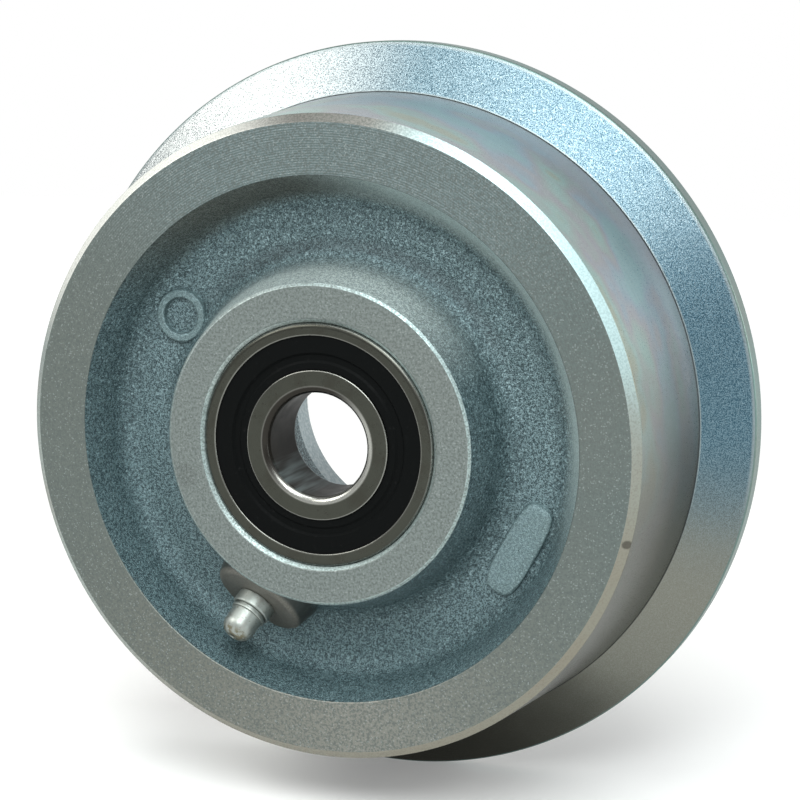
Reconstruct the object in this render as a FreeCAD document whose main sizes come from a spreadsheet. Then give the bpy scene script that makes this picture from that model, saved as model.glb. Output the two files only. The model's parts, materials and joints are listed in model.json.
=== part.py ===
import FreeCAD, Part
import math
import os
import Sketcher

# Flanged rail wheel: a cast wheel that turns about +Y on one sealed ball bearing.
# The origin is the middle of the hub, and the front of the wheel faces -Y.

SIZES = (
    ("hub_length", 52.0, "hub, front face to back face"),
    ("hub_radius", 31.0, "hub at its two machined faces"),
    ("hub_foot_radius", 34.5, "hub where its drafted side meets the web"),
    ("hub_edge_round", 0.5, "rounding of the hub's outer edges"),
    ("hub_proud", 3.1, "hub face ahead of the rim face"),
    ("core_radius", 20.0, "cored hollow between the two bearing seats"),
    ("seat_chamfer", 0.85, "chamfer at the mouth of each bearing seat"),
    ("rim_width", 45.0, "rim face to the back of the flange"),
    ("rim_inner_radius", 51.0, "rim at the edge of its faces"),
    ("rim_foot_radius", 46.5, "rim where its drafted inner wall meets the web"),
    ("rim_chamfer", 1.57, "chamfer at the front of the tread"),
    ("tread_radius", 62.5, "tread at its front end"),
    ("tread_root_radius", 65.0, "tread where it meets the flange"),
    ("tread_length", 33.9, "rim face to the flange root"),
    ("flange_radius", 75.0, "outside of the flange"),
    ("flange_slope", 6.0, "length of the flange's sloping face along the axis"),
    ("flange_tip_round", 0.6, "rounding at the top of the sloping face"),
    ("flange_back_chamfer", 1.0, "chamfer at the back of the flange"),
    ("web_depth", 10.0, "rim face to the front of the web"),
    ("web_thickness", 13.0, "thickness of the web"),
    ("web_fillet", 5.0, "casting fillet between web, hub and rim"),
    ("bearing_bore_radius", 10.0, "bore of the inner ring"),
    ("bearing_outer_radius", 23.5, "outside of the outer ring"),
    ("bearing_width", 14.0, "width of both rings"),
    ("bearing_corner", 1.0, "rounding of the rings' mounting corners"),
    ("bearing_recess", 0.2, "bearing face behind the hub face"),
    ("inner_land_radius", 14.45, "shoulder of the inner ring"),
    ("outer_land_radius", 19.3, "shoulder of the outer ring"),
    ("pitch_radius", 16.75, "circle of the ball centres"),
    ("ball_radius", 3.969, "bearing ball"),
    ("race_radius", 4.12, "section radius of both ball grooves"),
    ("race_clearance", 0.03, "gap between a ball and the bottom of a groove"),
    ("seal_radius", 21.0, "seal and the recess that holds it"),
    ("seal_inset", 0.35, "seal face behind the bearing face"),
    ("seal_thickness", 1.4, "seal at its outer bead"),
    ("seal_dish_radius", 17.3, "start of the sunken band round the seal lip"),
    ("seal_lip_band", 1.3, "width of the raised lip at the inner edge"),
    ("seal_dish_depth", 0.45, "depth of the sunken band"),
    ("seal_lip_drop", 0.12, "lip face behind the seal face"),
    ("seal_clearance", 0.08, "gap between the seal lip and the inner ring"),
    ("seal_fit", 0.02, "gap between the seal and its recess"),
    ("cage_inner_radius", 15.5, "inside of the cage"),
    ("cage_outer_radius", 18.0, "outside of the cage"),
    ("cage_sheet", 0.7, "thickness of the pressed cage halves"),
    ("cage_clearance", 0.1, "gap between a ball and its pocket"),
    ("rivet_radius", 0.55, "shank of a cage rivet"),
    ("rivet_head_radius", 1.0, "head of a cage rivet"),
    ("rivet_head_height", 0.4, "height of a rivet head"),
    ("rivet_fit", 0.02, "gap between a rivet and its hole"),
    ("nipple_turn", 25.3, "nipple left of straight down, in degrees"),
    ("nipple_lean", 42.0, "nipple axis towards the front, in degrees from radial"),
    ("nipple_seat_radius", 37.0, "centre of the nipple's flat, from the wheel axis"),
    ("nipple_seat_depth", 4.4, "centre of the nipple's flat, behind the rim face"),
    ("boss_radius", 9.3, "cast boss round the nipple, at its flat"),
    ("boss_foot_radius", 11.0, "drafted boss at its foot in the casting"),
    ("boss_length", 7.0, "boss from its flat into the casting"),
    ("spot_radius", 9.0, "machined flat on the boss"),
    ("spot_reach", 12.0, "clear way that the machined flat's cutter leaves"),
    ("shank_radius", 3.0, "nipple shank"),
    ("shank_length", 6.0, "nipple shank below its collar"),
    ("shank_fit", 0.03, "gap between the shank and its hole"),
    ("channel_radius", 2.0, "grease channel from the nipple to the hub's hollow"),
    ("channel_length", 26.0, "grease channel from the flat inwards"),
    ("collar_radius", 4.0, "nipple collar"),
    ("collar_height", 2.6, "nipple collar"),
    ("neck_radius", 3.2, "groove above the collar"),
    ("neck_height", 0.4, "groove above the collar"),
    ("bead_radius", 3.65, "thin ring above the groove"),
    ("bead_height", 0.6, "thin ring above the groove"),
    ("head_radius", 3.25, "nipple head"),
    ("head_height", 5.2, "nipple head above the thin ring"),
    ("head_round", 2.5, "rounding of the nipple's nose"),
    ("port_radius", 0.55, "hole in the nipple's nose"),
    ("port_lip", 0.5, "wall of the nose round its hole"),
    ("valve_bore_radius", 1.0, "bore that guides the check ball"),
    ("valve_seat_depth", 0.7, "length of the seat cone under the nose"),
    ("valve_ball_radius", 0.9, "check ball"),
    ("valve_gap", 0.03, "gap between the check ball and its seat"),
    ("valve_shelf", 0.8, "shelf under the spring"),
    ("spring_radius", 0.68, "valve spring, at the middle of its wire"),
    ("spring_wire_radius", 0.14, "wire of the valve spring"),
    ("spring_turns", 6.0, "turns of the valve spring"),
    ("spring_gap", 0.05, "gap at each end of the valve spring"),
)

BALL_COUNT = 8
WHEEL_AXIS = FreeCAD.Vector(0, 1, 0)
UPRIGHT = FreeCAD.Placement(FreeCAD.Vector(), FreeCAD.Rotation(FreeCAD.Vector(0, 0, 1), WHEEL_AXIS))

doc = FreeCAD.newDocument("FlangedRailWheel")
sheet = doc.addObject("Spreadsheet::Sheet", "Sizes")
for row, (alias, number, meaning) in enumerate(SIZES, start=1):
    sheet.set(f"A{row}", alias)
    sheet.set(f"B{row}", str(number))
    sheet.set(f"C{row}", meaning)
    sheet.setAlias(f"B{row}", alias)
doc.recompute()


def size(alias):
    """Return one driving dimension of the sheet."""
    return float(sheet.get(alias))


def cell(alias):
    """Return the expression that names one cell of the sheet."""
    return f"Sizes.{alias}"


def value(expression):
    """Return the number that an expression on the sheet gives."""
    return float(sheet.evalExpression(expression))


# Stations along the wheel axis, as expressions on the sheet.
HUB_BACK = "(Sizes.hub_length / 2)"
HUB_FRONT = "(-Sizes.hub_length / 2)"
RIM_FRONT = f"({HUB_FRONT} + Sizes.hub_proud)"
RIM_BACK = f"({RIM_FRONT} + Sizes.rim_width)"
FLANGE_ROOT = f"({RIM_FRONT} + Sizes.tread_length)"
FLANGE_TIP = f"({FLANGE_ROOT} + Sizes.flange_slope)"
WEB_FRONT = f"({RIM_FRONT} + Sizes.web_depth)"
WEB_BACK = f"({WEB_FRONT} + Sizes.web_thickness)"
SEAT_DEPTH = "(Sizes.bearing_width + Sizes.bearing_recess)"
FRONT_SHOULDER = f"({HUB_FRONT} + {SEAT_DEPTH})"
BACK_SHOULDER = f"({HUB_BACK} - {SEAT_DEPTH})"
SEAT_MOUTH = "(Sizes.bearing_outer_radius + Sizes.seat_chamfer)"
BEARING_HALF = "(Sizes.bearing_width / 2)"
BEARING_CENTRE = f"({HUB_FRONT} + Sizes.bearing_recess + {BEARING_HALF})"
SEAL_SHOULDER = f"({BEARING_HALF} - Sizes.seal_inset - Sizes.seal_thickness)"
SEAL_LIP = "(Sizes.inner_land_radius + Sizes.seal_clearance)"
POCKET_RADIUS = "(Sizes.ball_radius + Sizes.cage_clearance)"
POCKET_OUTSIDE = f"({POCKET_RADIUS} + Sizes.cage_sheet)"
BEAD_BASE = "(Sizes.collar_height + Sizes.neck_height)"
BEAD_TOP = f"({BEAD_BASE} + Sizes.bead_height)"
NOSE = f"({BEAD_TOP} + Sizes.head_height)"
SEAT_TOP = f"({NOSE} - Sizes.port_lip)"
SEAT_BOTTOM = f"({SEAT_TOP} - Sizes.valve_seat_depth)"
SPRING_SHELF = "(Sizes.valve_shelf - Sizes.shank_length)"


def new_body(label):
    """Start one turned or cast piece."""
    body = doc.addObject("PartDesign::Body", label)
    body.Label = label
    return body


def origin_plane(body, role):
    """Return one of a body's own origin planes."""
    for feature in body.Origin.OriginFeatures:
        if feature.Role == role:
            return feature
    raise RuntimeError(f"{body.Label} has no {role}")


def new_sketch(body, name):
    """Start a section sketch: x is the radius and y runs along the axis."""
    sketch = body.newObject("Sketcher::SketchObject", name)
    sketch.AttachmentSupport = [(origin_plane(body, "XY_Plane"), "")]
    sketch.MapMode = "FlatFace"
    return sketch


def pin_point(sketch, line, end, name, radius, station):
    """Tie one end of a line to two expressions, a radius and a station on the axis."""
    for kind, label, expression in (("DistanceX", "r", radius), ("DistanceY", "y", station)):
        index = sketch.addConstraint(
            Sketcher.Constraint(kind, line, end, value(expression))
        )
        sketch.renameConstraint(index, f"{name}_{label}")
        sketch.setExpression(f"Constraints.{name}_{label}", expression)


def section(body, name, corners):
    """Draw a closed section through corners given as (radius, station) expressions."""
    sketch = new_sketch(body, name)
    points = [FreeCAD.Vector(value(r), value(y), 0) for r, y in corners]
    following = points[1:] + points[:1]
    lines = [
        sketch.addGeometry(Part.LineSegment(start, stop), False)
        for start, stop in zip(points, following)
    ]
    for line, after in zip(lines, lines[1:] + lines[:1]):
        sketch.addConstraint(Sketcher.Constraint("Coincident", line, 2, after, 1))
    for line, (radius, station) in zip(lines, corners):
        pin_point(sketch, line, 1, f"corner_{line + 1}", radius, station)
    return sketch


def revolve(body, name, corners):
    """Turn a section once round the body's Y axis."""
    sketch = section(body, f"{name}_section", corners)
    feature = body.newObject("PartDesign::Revolution", name)
    feature.Profile = sketch
    feature.ReferenceAxis = (sketch, ["V_Axis"])
    feature.Angle = 360
    body.Tip = feature
    doc.recompute()
    return feature


def cut_race(body, name, centre_radius):
    """Cut a round ball groove, centred on the bearing's middle plane."""
    before = body.Shape.Volume
    sketch = new_sketch(body, f"{name}_section")
    centre = FreeCAD.Vector(value(centre_radius), 0, 0)
    circle = sketch.addGeometry(
        Part.Circle(centre, FreeCAD.Vector(0, 0, 1), size("race_radius")), False
    )
    index = sketch.addConstraint(
        Sketcher.Constraint("Radius", circle, size("race_radius"))
    )
    sketch.renameConstraint(index, "race")
    sketch.setExpression("Constraints.race", cell("race_radius"))
    pin_point(sketch, circle, 3, "centre", centre_radius, "0")
    groove = body.newObject("PartDesign::Groove", name)
    groove.Profile = sketch
    groove.ReferenceAxis = (sketch, ["V_Axis"])
    groove.Angle = 360
    body.Tip = groove
    doc.recompute()
    if body.Shape.Volume >= before:
        raise RuntimeError(f"{name} cut nothing")
    return groove


def ring_edges(shape, rings):
    """Name the circular edges that have the given radii and stations."""
    names = []
    for number, edge in enumerate(shape.Edges, start=1):
        if not isinstance(edge.Curve, Part.Circle):
            continue
        for radius, station in rings:
            same_radius = abs(edge.Curve.Radius - value(radius)) < 1e-4
            same_station = abs(edge.Curve.Center.y - value(station)) < 1e-4
            if same_radius and same_station:
                names.append(f"Edge{number}")
    if len(names) != len(rings):
        raise RuntimeError(f"{len(names)} edges found for {len(rings)} rings")
    return names


def round_edges(body, base, name, radius, rings):
    """Round the named rings of edges of a turned body."""
    fillet = body.newObject("PartDesign::Fillet", name)
    fillet.Base = (base, ring_edges(base.Shape, rings))
    fillet.Radius = value(radius)
    fillet.setExpression("Radius", radius)
    body.Tip = fillet
    doc.recompute()
    return fillet


def along_axis(piece, station):
    """Set a turned piece at a station on the wheel axis."""
    piece.Placement = FreeCAD.Placement()
    piece.setExpression("Placement.Base.y", station)


def nipple_frame(offset=0.0):
    """Place +Y along the nipple axis, with the origin on the boss's flat or above it."""
    turn = math.radians(size("nipple_turn"))
    lean = math.radians(size("nipple_lean"))
    radial = FreeCAD.Vector(-math.sin(turn), 0, -math.cos(turn))
    outward = radial * math.cos(lean) - WHEEL_AXIS * math.sin(lean)
    station = value(f"{RIM_FRONT} + Sizes.nipple_seat_depth")
    seat = radial * size("nipple_seat_radius") + WHEEL_AXIS * station
    turned = FreeCAD.Rotation(WHEEL_AXIS, outward)
    return FreeCAD.Placement(seat + outward * offset, turned)


def rod(name, radius, length, placement):
    """Make a round rod that starts at the placement and runs along its +Y."""
    cylinder = doc.addObject("Part::Cylinder", name)
    cylinder.setExpression("Radius", radius)
    cylinder.setExpression("Height", length)
    cylinder.Placement = placement.multiply(UPRIGHT)
    return cylinder


def drafted_boss(name, foot_radius, radius, length, placement):
    """Make a boss that starts at the placement and narrows along its +Y."""
    cone = doc.addObject("Part::Cone", name)
    cone.setExpression("Radius1", foot_radius)
    cone.setExpression("Radius2", radius)
    cone.setExpression("Height", length)
    cone.Placement = placement.multiply(UPRIGHT)
    return cone


def combine(kind, name, shapes):
    """Fuse a list of shapes, or cut the second of two from the first."""
    result = doc.addObject(kind, name)
    if kind in ("Part::MultiFuse", "Part::Compound"):
        setattr(result, "Links" if kind == "Part::Compound" else "Shapes", shapes)
    else:
        result.Base, result.Tool = shapes
    result.Label = name
    doc.recompute()
    return result


def wheel_casting():
    """Cast hub, web, rim and flange, with the boss and hole for the grease nipple."""
    blank = new_body("wheel_blank")
    turned = revolve(blank, "wheel_turned", [
        (SEAT_MOUTH, HUB_FRONT),
        (cell("hub_radius"), HUB_FRONT),
        (cell("hub_foot_radius"), WEB_FRONT),
        (cell("rim_foot_radius"), WEB_FRONT),
        (cell("rim_inner_radius"), RIM_FRONT),
        ("Sizes.tread_radius - Sizes.rim_chamfer", RIM_FRONT),
        (cell("tread_radius"), f"{RIM_FRONT} + Sizes.rim_chamfer"),
        (cell("tread_root_radius"), FLANGE_ROOT),
        (cell("flange_radius"), FLANGE_TIP),
        (cell("flange_radius"), f"{RIM_BACK} - Sizes.flange_back_chamfer"),
        ("Sizes.flange_radius - Sizes.flange_back_chamfer", RIM_BACK),
        (cell("rim_inner_radius"), RIM_BACK),
        (cell("rim_foot_radius"), WEB_BACK),
        (cell("hub_foot_radius"), WEB_BACK),
        (cell("hub_radius"), HUB_BACK),
        (SEAT_MOUTH, HUB_BACK),
        (cell("bearing_outer_radius"), f"{HUB_BACK} - Sizes.seat_chamfer"),
        (cell("bearing_outer_radius"), BACK_SHOULDER),
        (cell("core_radius"), BACK_SHOULDER),
        (cell("core_radius"), FRONT_SHOULDER),
        (cell("bearing_outer_radius"), FRONT_SHOULDER),
        (cell("bearing_outer_radius"), f"{HUB_FRONT} + Sizes.seat_chamfer"),
    ])
    webbed = round_edges(blank, turned, "web_fillets", cell("web_fillet"), [
        (cell("hub_foot_radius"), WEB_FRONT),
        (cell("rim_foot_radius"), WEB_FRONT),
        (cell("rim_foot_radius"), WEB_BACK),
        (cell("hub_foot_radius"), WEB_BACK),
    ])
    tipped = round_edges(blank, webbed, "flange_tip", cell("flange_tip_round"), [
        (cell("flange_radius"), FLANGE_TIP),
    ])
    round_edges(blank, tipped, "hub_edges", cell("hub_edge_round"), [
        (cell("hub_radius"), HUB_FRONT),
        (cell("hub_radius"), HUB_BACK),
    ])
    boss = drafted_boss("nipple_boss", cell("boss_foot_radius"), cell("boss_radius"),
                        cell("boss_length"), nipple_frame(-size("boss_length")))
    bossed = combine("Part::MultiFuse", "wheel_with_boss", [blank, boss])
    spot = rod("nipple_spot", cell("spot_radius"), cell("spot_reach"), nipple_frame())
    hole = rod("nipple_hole", "Sizes.shank_radius + Sizes.shank_fit", cell("shank_length"),
               nipple_frame(-size("shank_length")))
    channel = rod("grease_channel", cell("channel_radius"), cell("channel_length"),
                  nipple_frame(-size("channel_length")))
    cuts = combine("Part::MultiFuse", "nipple_cuts", [spot, hole, channel])
    return combine("Part::Cut", "wheel_casting", [bossed, cuts])


def bearing_outer_ring():
    """Outer ring with its ball groove and a recess for each seal."""
    body = new_body("bearing_outer_ring")
    ring = revolve(body, "outer_ring_turned", [
        (cell("seal_radius"), f"-{BEARING_HALF}"),
        (cell("bearing_outer_radius"), f"-{BEARING_HALF}"),
        (cell("bearing_outer_radius"), BEARING_HALF),
        (cell("seal_radius"), BEARING_HALF),
        (cell("seal_radius"), SEAL_SHOULDER),
        (cell("outer_land_radius"), SEAL_SHOULDER),
        (cell("outer_land_radius"), f"-{SEAL_SHOULDER}"),
        (cell("seal_radius"), f"-{SEAL_SHOULDER}"),
    ])
    round_edges(body, ring, "outer_ring_corners", cell("bearing_corner"), [
        (cell("bearing_outer_radius"), f"-{BEARING_HALF}"),
        (cell("bearing_outer_radius"), BEARING_HALF),
    ])
    reach = "Sizes.pitch_radius + Sizes.ball_radius + Sizes.race_clearance"
    cut_race(body, "outer_race", f"{reach} - Sizes.race_radius")
    along_axis(body, BEARING_CENTRE)
    return body


def bearing_inner_ring():
    """Inner ring with its ball groove; its bore takes the axle."""
    body = new_body("bearing_inner_ring")
    ring = revolve(body, "inner_ring_turned", [
        (cell("bearing_bore_radius"), f"-{BEARING_HALF}"),
        (cell("inner_land_radius"), f"-{BEARING_HALF}"),
        (cell("inner_land_radius"), BEARING_HALF),
        (cell("bearing_bore_radius"), BEARING_HALF),
    ])
    round_edges(body, ring, "inner_ring_corners", cell("bearing_corner"), [
        (cell("bearing_bore_radius"), f"-{BEARING_HALF}"),
        (cell("bearing_bore_radius"), BEARING_HALF),
    ])
    reach = "Sizes.pitch_radius - Sizes.ball_radius - Sizes.race_clearance"
    cut_race(body, "inner_race", f"{reach} + Sizes.race_radius")
    along_axis(body, BEARING_CENTRE)
    return body


def bearing_seal(label, side):
    """Moulded seal with a bead, a sunken band and a lip; side is -1 for the front."""
    face = f"{side} * ({BEARING_HALF} - Sizes.seal_inset)"
    sunk = f"({face} - {side} * Sizes.seal_dish_depth)"
    lip_face = f"({face} - {side} * Sizes.seal_lip_drop)"
    inside = f"{side} * {SEAL_SHOULDER}"
    lip_edge = f"({SEAL_LIP} + Sizes.seal_lip_band)"
    body = new_body(label)
    revolve(body, f"{label}_moulded", [
        ("Sizes.seal_radius - Sizes.seal_fit", face),
        ("Sizes.seal_dish_radius + Sizes.seal_dish_depth", face),
        (cell("seal_dish_radius"), sunk),
        (f"{lip_edge} + Sizes.seal_dish_depth", sunk),
        (lip_edge, lip_face),
        (SEAL_LIP, lip_face),
        (SEAL_LIP, inside),
        ("Sizes.seal_radius - Sizes.seal_fit", inside),
    ])
    along_axis(body, BEARING_CENTRE)
    return body


def bearing_frame(angle=0.0, radius=0.0, station=0.0):
    """Place +Y along the wheel axis at a point round the bearing's middle plane."""
    x = radius * math.cos(math.radians(angle))
    z = radius * math.sin(math.radians(angle))
    return FreeCAD.Placement(
        FreeCAD.Vector(x, value(BEARING_CENTRE) + station, z), FreeCAD.Rotation()
    )


def ball_angles(half_step=False):
    """Return the angles of the balls, or of the rivets midway between them."""
    step = 360.0 / BALL_COUNT
    return [step * (number + (0.5 if half_step else 0.0)) for number in range(BALL_COUNT)]


def sphere(name, radius, placement):
    """Make a ball at a placement."""
    ball = doc.addObject("Part::Sphere", name)
    ball.setExpression("Radius", radius)
    ball.Placement = placement
    return ball


def tube(name, inside, outside, length, placement):
    """Make a round tube that starts at the placement and runs along its +Y."""
    outer = rod(f"{name}_outside", outside, length, placement)
    inner = rod(f"{name}_inside", inside, length, placement)
    return combine("Part::Cut", name, [outer, inner])


def cage_halves():
    """Pressed ribbon cage: two mirrored halves with a round pocket for each ball."""
    inside, outside = cell("cage_inner_radius"), cell("cage_outer_radius")
    band = tube("cage_band", inside, outside, cell("cage_sheet"), bearing_frame())
    limit = tube("cage_limit", inside, outside, POCKET_OUTSIDE, bearing_frame())
    places = [bearing_frame(angle, size("pitch_radius")) for angle in ball_angles()]
    domes = [
        sphere(f"cage_dome_{number}", POCKET_OUTSIDE, place)
        for number, place in enumerate(places, start=1)
    ]
    pockets = [
        sphere(f"cage_pocket_{number}", POCKET_RADIUS, place)
        for number, place in enumerate(places, start=1)
    ]
    holes = [
        rod(f"rivet_hole_{number}", "Sizes.rivet_radius + Sizes.rivet_fit", cell("cage_sheet"),
            bearing_frame(angle, size("pitch_radius")))
        for number, angle in enumerate(ball_angles(half_step=True), start=1)
    ]
    domed = combine("Part::MultiFuse", "cage_domed", [band] + domes)
    ribbon = combine("Part::Common", "cage_ribbon", [domed, limit])
    openings = combine("Part::MultiFuse", "cage_openings", pockets + holes)
    rear = combine("Part::Cut", "cage_rear_half", [ribbon, openings])
    front = doc.addObject("Part::Mirroring", "cage_front_half")
    front.Source = rear
    front.Normal = WHEEL_AXIS
    front.Base = FreeCAD.Vector(0, value(BEARING_CENTRE), 0)
    front.Label = "cage_front_half"
    doc.recompute()
    return [front, rear]


def cage_rivets():
    """Rivets that hold the two cage halves together, one between each two balls."""
    sheet_edge = size("cage_sheet")
    grip = "2 * Sizes.cage_sheet + 2 * Sizes.rivet_head_height"
    rivets = []
    for number, angle in enumerate(ball_angles(half_step=True), start=1):
        foot = -sheet_edge - size("rivet_head_height")
        radius = size("pitch_radius")
        shank = rod(f"rivet_shank_{number}", cell("rivet_radius"), grip,
                    bearing_frame(angle, radius, foot))
        heads = [
            rod(f"rivet_{end}_head_{number}", cell("rivet_head_radius"),
                cell("rivet_head_height"), bearing_frame(angle, radius, station))
            for end, station in (("front", foot), ("rear", sheet_edge))
        ]
        rivets.append(combine("Part::MultiFuse", f"rivet_{number}", [shank] + heads))
    return combine("Part::Compound", "cage_rivets", rivets)


def bearing_balls():
    """Bearing balls, spaced evenly round the pitch circle."""
    return [
        sphere(f"bearing_ball_{number}", cell("ball_radius"),
               bearing_frame(angle, size("pitch_radius")))
        for number, angle in enumerate(ball_angles(), start=1)
    ]


def grease_nipple_body():
    """Turned nipple: shank, collar, groove, thin ring and round-nosed head, bored through."""
    body = new_body("grease_nipple_body")
    turned = revolve(body, "nipple_turned", [
        (cell("port_radius"), "-Sizes.shank_length"),
        (cell("shank_radius"), "-Sizes.shank_length"),
        (cell("shank_radius"), "0"),
        (cell("collar_radius"), "0"),
        (cell("collar_radius"), cell("collar_height")),
        (cell("neck_radius"), cell("collar_height")),
        (cell("neck_radius"), BEAD_BASE),
        (cell("bead_radius"), BEAD_BASE),
        (cell("bead_radius"), BEAD_TOP),
        (cell("head_radius"), BEAD_TOP),
        (cell("head_radius"), NOSE),
        (cell("port_radius"), NOSE),
        (cell("port_radius"), SEAT_TOP),
        (cell("valve_bore_radius"), SEAT_BOTTOM),
        (cell("valve_bore_radius"), SPRING_SHELF),
        (cell("port_radius"), SPRING_SHELF),
    ])
    round_edges(body, turned, "nipple_nose", cell("head_round"), [
        (cell("head_radius"), NOSE),
    ])
    body.Placement = nipple_frame()
    return body


def check_ball_height():
    """Height of the check ball's centre when it rests under its seat cone."""
    widening = size("valve_bore_radius") - size("port_radius")
    half_angle = math.atan2(widening, size("valve_seat_depth"))
    apex = value(SEAT_TOP) + size("port_radius") / math.tan(half_angle)
    return apex - (size("valve_ball_radius") + size("valve_gap")) / math.sin(half_angle)


def grease_nipple_ball():
    """Check ball that closes the nipple."""
    return sphere("grease_nipple_ball", cell("valve_ball_radius"),
                  nipple_frame(check_ball_height()))


def grease_nipple_spring():
    """Coil spring between the shelf in the shank and the check ball."""
    margin = size("spring_wire_radius") + size("spring_gap")
    foot = value(SPRING_SHELF) + margin
    top = check_ball_height() - size("valve_ball_radius") - margin
    upright = FreeCAD.Placement(
        FreeCAD.Vector(), FreeCAD.Rotation(FreeCAD.Vector(0, 0, 1), WHEEL_AXIS)
    )
    coil = doc.addObject("Part::Helix", "spring_path")
    coil.setExpression("Radius", cell("spring_radius"))
    coil.Height = top - foot
    coil.Pitch = (top - foot) / size("spring_turns")
    wire = doc.addObject("Part::Circle", "spring_wire")
    wire.setExpression("Radius", cell("spring_wire_radius"))
    wire.Placement = FreeCAD.Placement(
        FreeCAD.Vector(size("spring_radius"), 0, 0),
        FreeCAD.Rotation(FreeCAD.Vector(1, 0, 0), 90),
    )
    doc.recompute()
    spring = doc.addObject("Part::Sweep", "grease_nipple_spring")
    spring.Sections = [wire]
    spring.Spine = (coil, [f"Edge{number + 1}" for number in range(len(coil.Shape.Edges))])
    spring.Solid = True
    spring.Frenet = True
    spring.Label = "grease_nipple_spring"
    spring.Placement = nipple_frame(foot).multiply(upright)
    doc.recompute()
    return spring


def check_document():
    """Stop if any object of the document failed."""
    for item in doc.Objects:
        if "Invalid" in item.State or "Error" in item.State:
            raise RuntimeError(f"{item.Name} failed: {item.State}")


def write_parts(pieces):
    """Write each piece to a file named by its label."""
    os.makedirs("parts", exist_ok=True)
    for piece in pieces:
        if piece.Shape.isNull() or not piece.Shape.isValid():
            raise RuntimeError(f"{piece.Label} has no valid shape")
    for piece in pieces:
        piece.Shape.exportStep(f"parts/{piece.Label}.step")
        box = piece.Shape.BoundBox
        print(f"{piece.Label}: {len(piece.Shape.Solids)} solids, {piece.Shape.Volume:.2f} mm3, "
              f"y {box.YMin:.2f} to {box.YMax:.2f}")


pieces = [
    wheel_casting(),
    bearing_outer_ring(),
    bearing_inner_ring(),
    bearing_seal("front_seal", "-1"),
    bearing_seal("rear_seal", "1"),
    *cage_halves(),
    cage_rivets(),
    *bearing_balls(),
    grease_nipple_body(),
    grease_nipple_ball(),
    grease_nipple_spring(),
]
doc.recompute()
check_document()
write_parts(pieces)
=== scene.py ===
import json
import math
from functools import cached_property, partial, reduce

import bpy
import numpy as np
from bpy.props import FloatProperty, FloatVectorProperty, IntProperty, PointerProperty
from mathutils import Matrix, Vector


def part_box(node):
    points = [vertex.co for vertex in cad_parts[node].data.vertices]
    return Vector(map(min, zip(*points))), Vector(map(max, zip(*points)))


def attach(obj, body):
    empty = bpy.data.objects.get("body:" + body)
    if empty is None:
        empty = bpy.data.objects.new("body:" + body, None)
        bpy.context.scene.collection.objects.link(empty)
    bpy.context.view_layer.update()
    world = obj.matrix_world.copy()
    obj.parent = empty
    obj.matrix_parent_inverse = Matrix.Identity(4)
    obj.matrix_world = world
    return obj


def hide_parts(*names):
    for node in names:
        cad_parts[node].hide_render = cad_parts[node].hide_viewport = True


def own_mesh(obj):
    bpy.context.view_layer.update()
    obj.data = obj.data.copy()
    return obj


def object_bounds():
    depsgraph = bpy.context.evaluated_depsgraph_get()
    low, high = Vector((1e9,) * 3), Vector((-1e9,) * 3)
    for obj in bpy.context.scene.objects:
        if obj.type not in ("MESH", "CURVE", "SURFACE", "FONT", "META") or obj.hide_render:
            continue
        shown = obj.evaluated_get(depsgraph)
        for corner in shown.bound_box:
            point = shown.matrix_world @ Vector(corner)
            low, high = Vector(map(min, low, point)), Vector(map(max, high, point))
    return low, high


bl_info = {
    "name": "Flanged rail wheel",
    "version": (1, 0, 0),
    "blender": (4, 5, 0),
    "location": "3D View > Sidebar > Rail Wheel",
    "description": "Dresses a zinc-plated rail wheel with its bearing and grease nipple, and sets its stage",
    "category": "Object",
}

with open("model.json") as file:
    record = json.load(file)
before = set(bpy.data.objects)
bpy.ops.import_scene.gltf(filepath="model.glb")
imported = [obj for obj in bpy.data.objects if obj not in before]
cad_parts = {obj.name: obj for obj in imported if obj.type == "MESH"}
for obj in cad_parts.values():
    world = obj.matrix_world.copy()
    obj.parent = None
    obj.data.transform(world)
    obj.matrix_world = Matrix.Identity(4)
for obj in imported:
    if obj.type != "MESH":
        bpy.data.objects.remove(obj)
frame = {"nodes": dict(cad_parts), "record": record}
CAD_LOW, CAD_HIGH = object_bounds()
CAST_LOW, CAST_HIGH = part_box("wheel_casting")
RING_LOW, RING_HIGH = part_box("bearing_outer_ring")
GREASE_POINT = next(mount for mount in frame["record"]["mounts"] if mount["name"] == "grease_point")
MILLIMETRE = 0.001


def length(name, description, millimetres):
    """A size in metres that a user may change."""
    return FloatProperty(
        name=name, description=description, default=millimetres * MILLIMETRE,
        unit="LENGTH", precision=5,
    )


def turned_by(name, description, degrees):
    """An angle in radians that a user may change."""
    return FloatProperty(
        name=name, description=description, default=math.radians(degrees), subtype="ANGLE",
    )


def amount(name, description, value):
    """A plain number that a user may change."""
    return FloatProperty(name=name, description=description, default=value)


def tint(name, description, red, green, blue):
    """A colour, as linear light, that a user may change."""
    return FloatVectorProperty(
        name=name, description=description, default=(red, green, blue),
        subtype="COLOR", size=3, min=0.0, max=1.0,
    )


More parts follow.
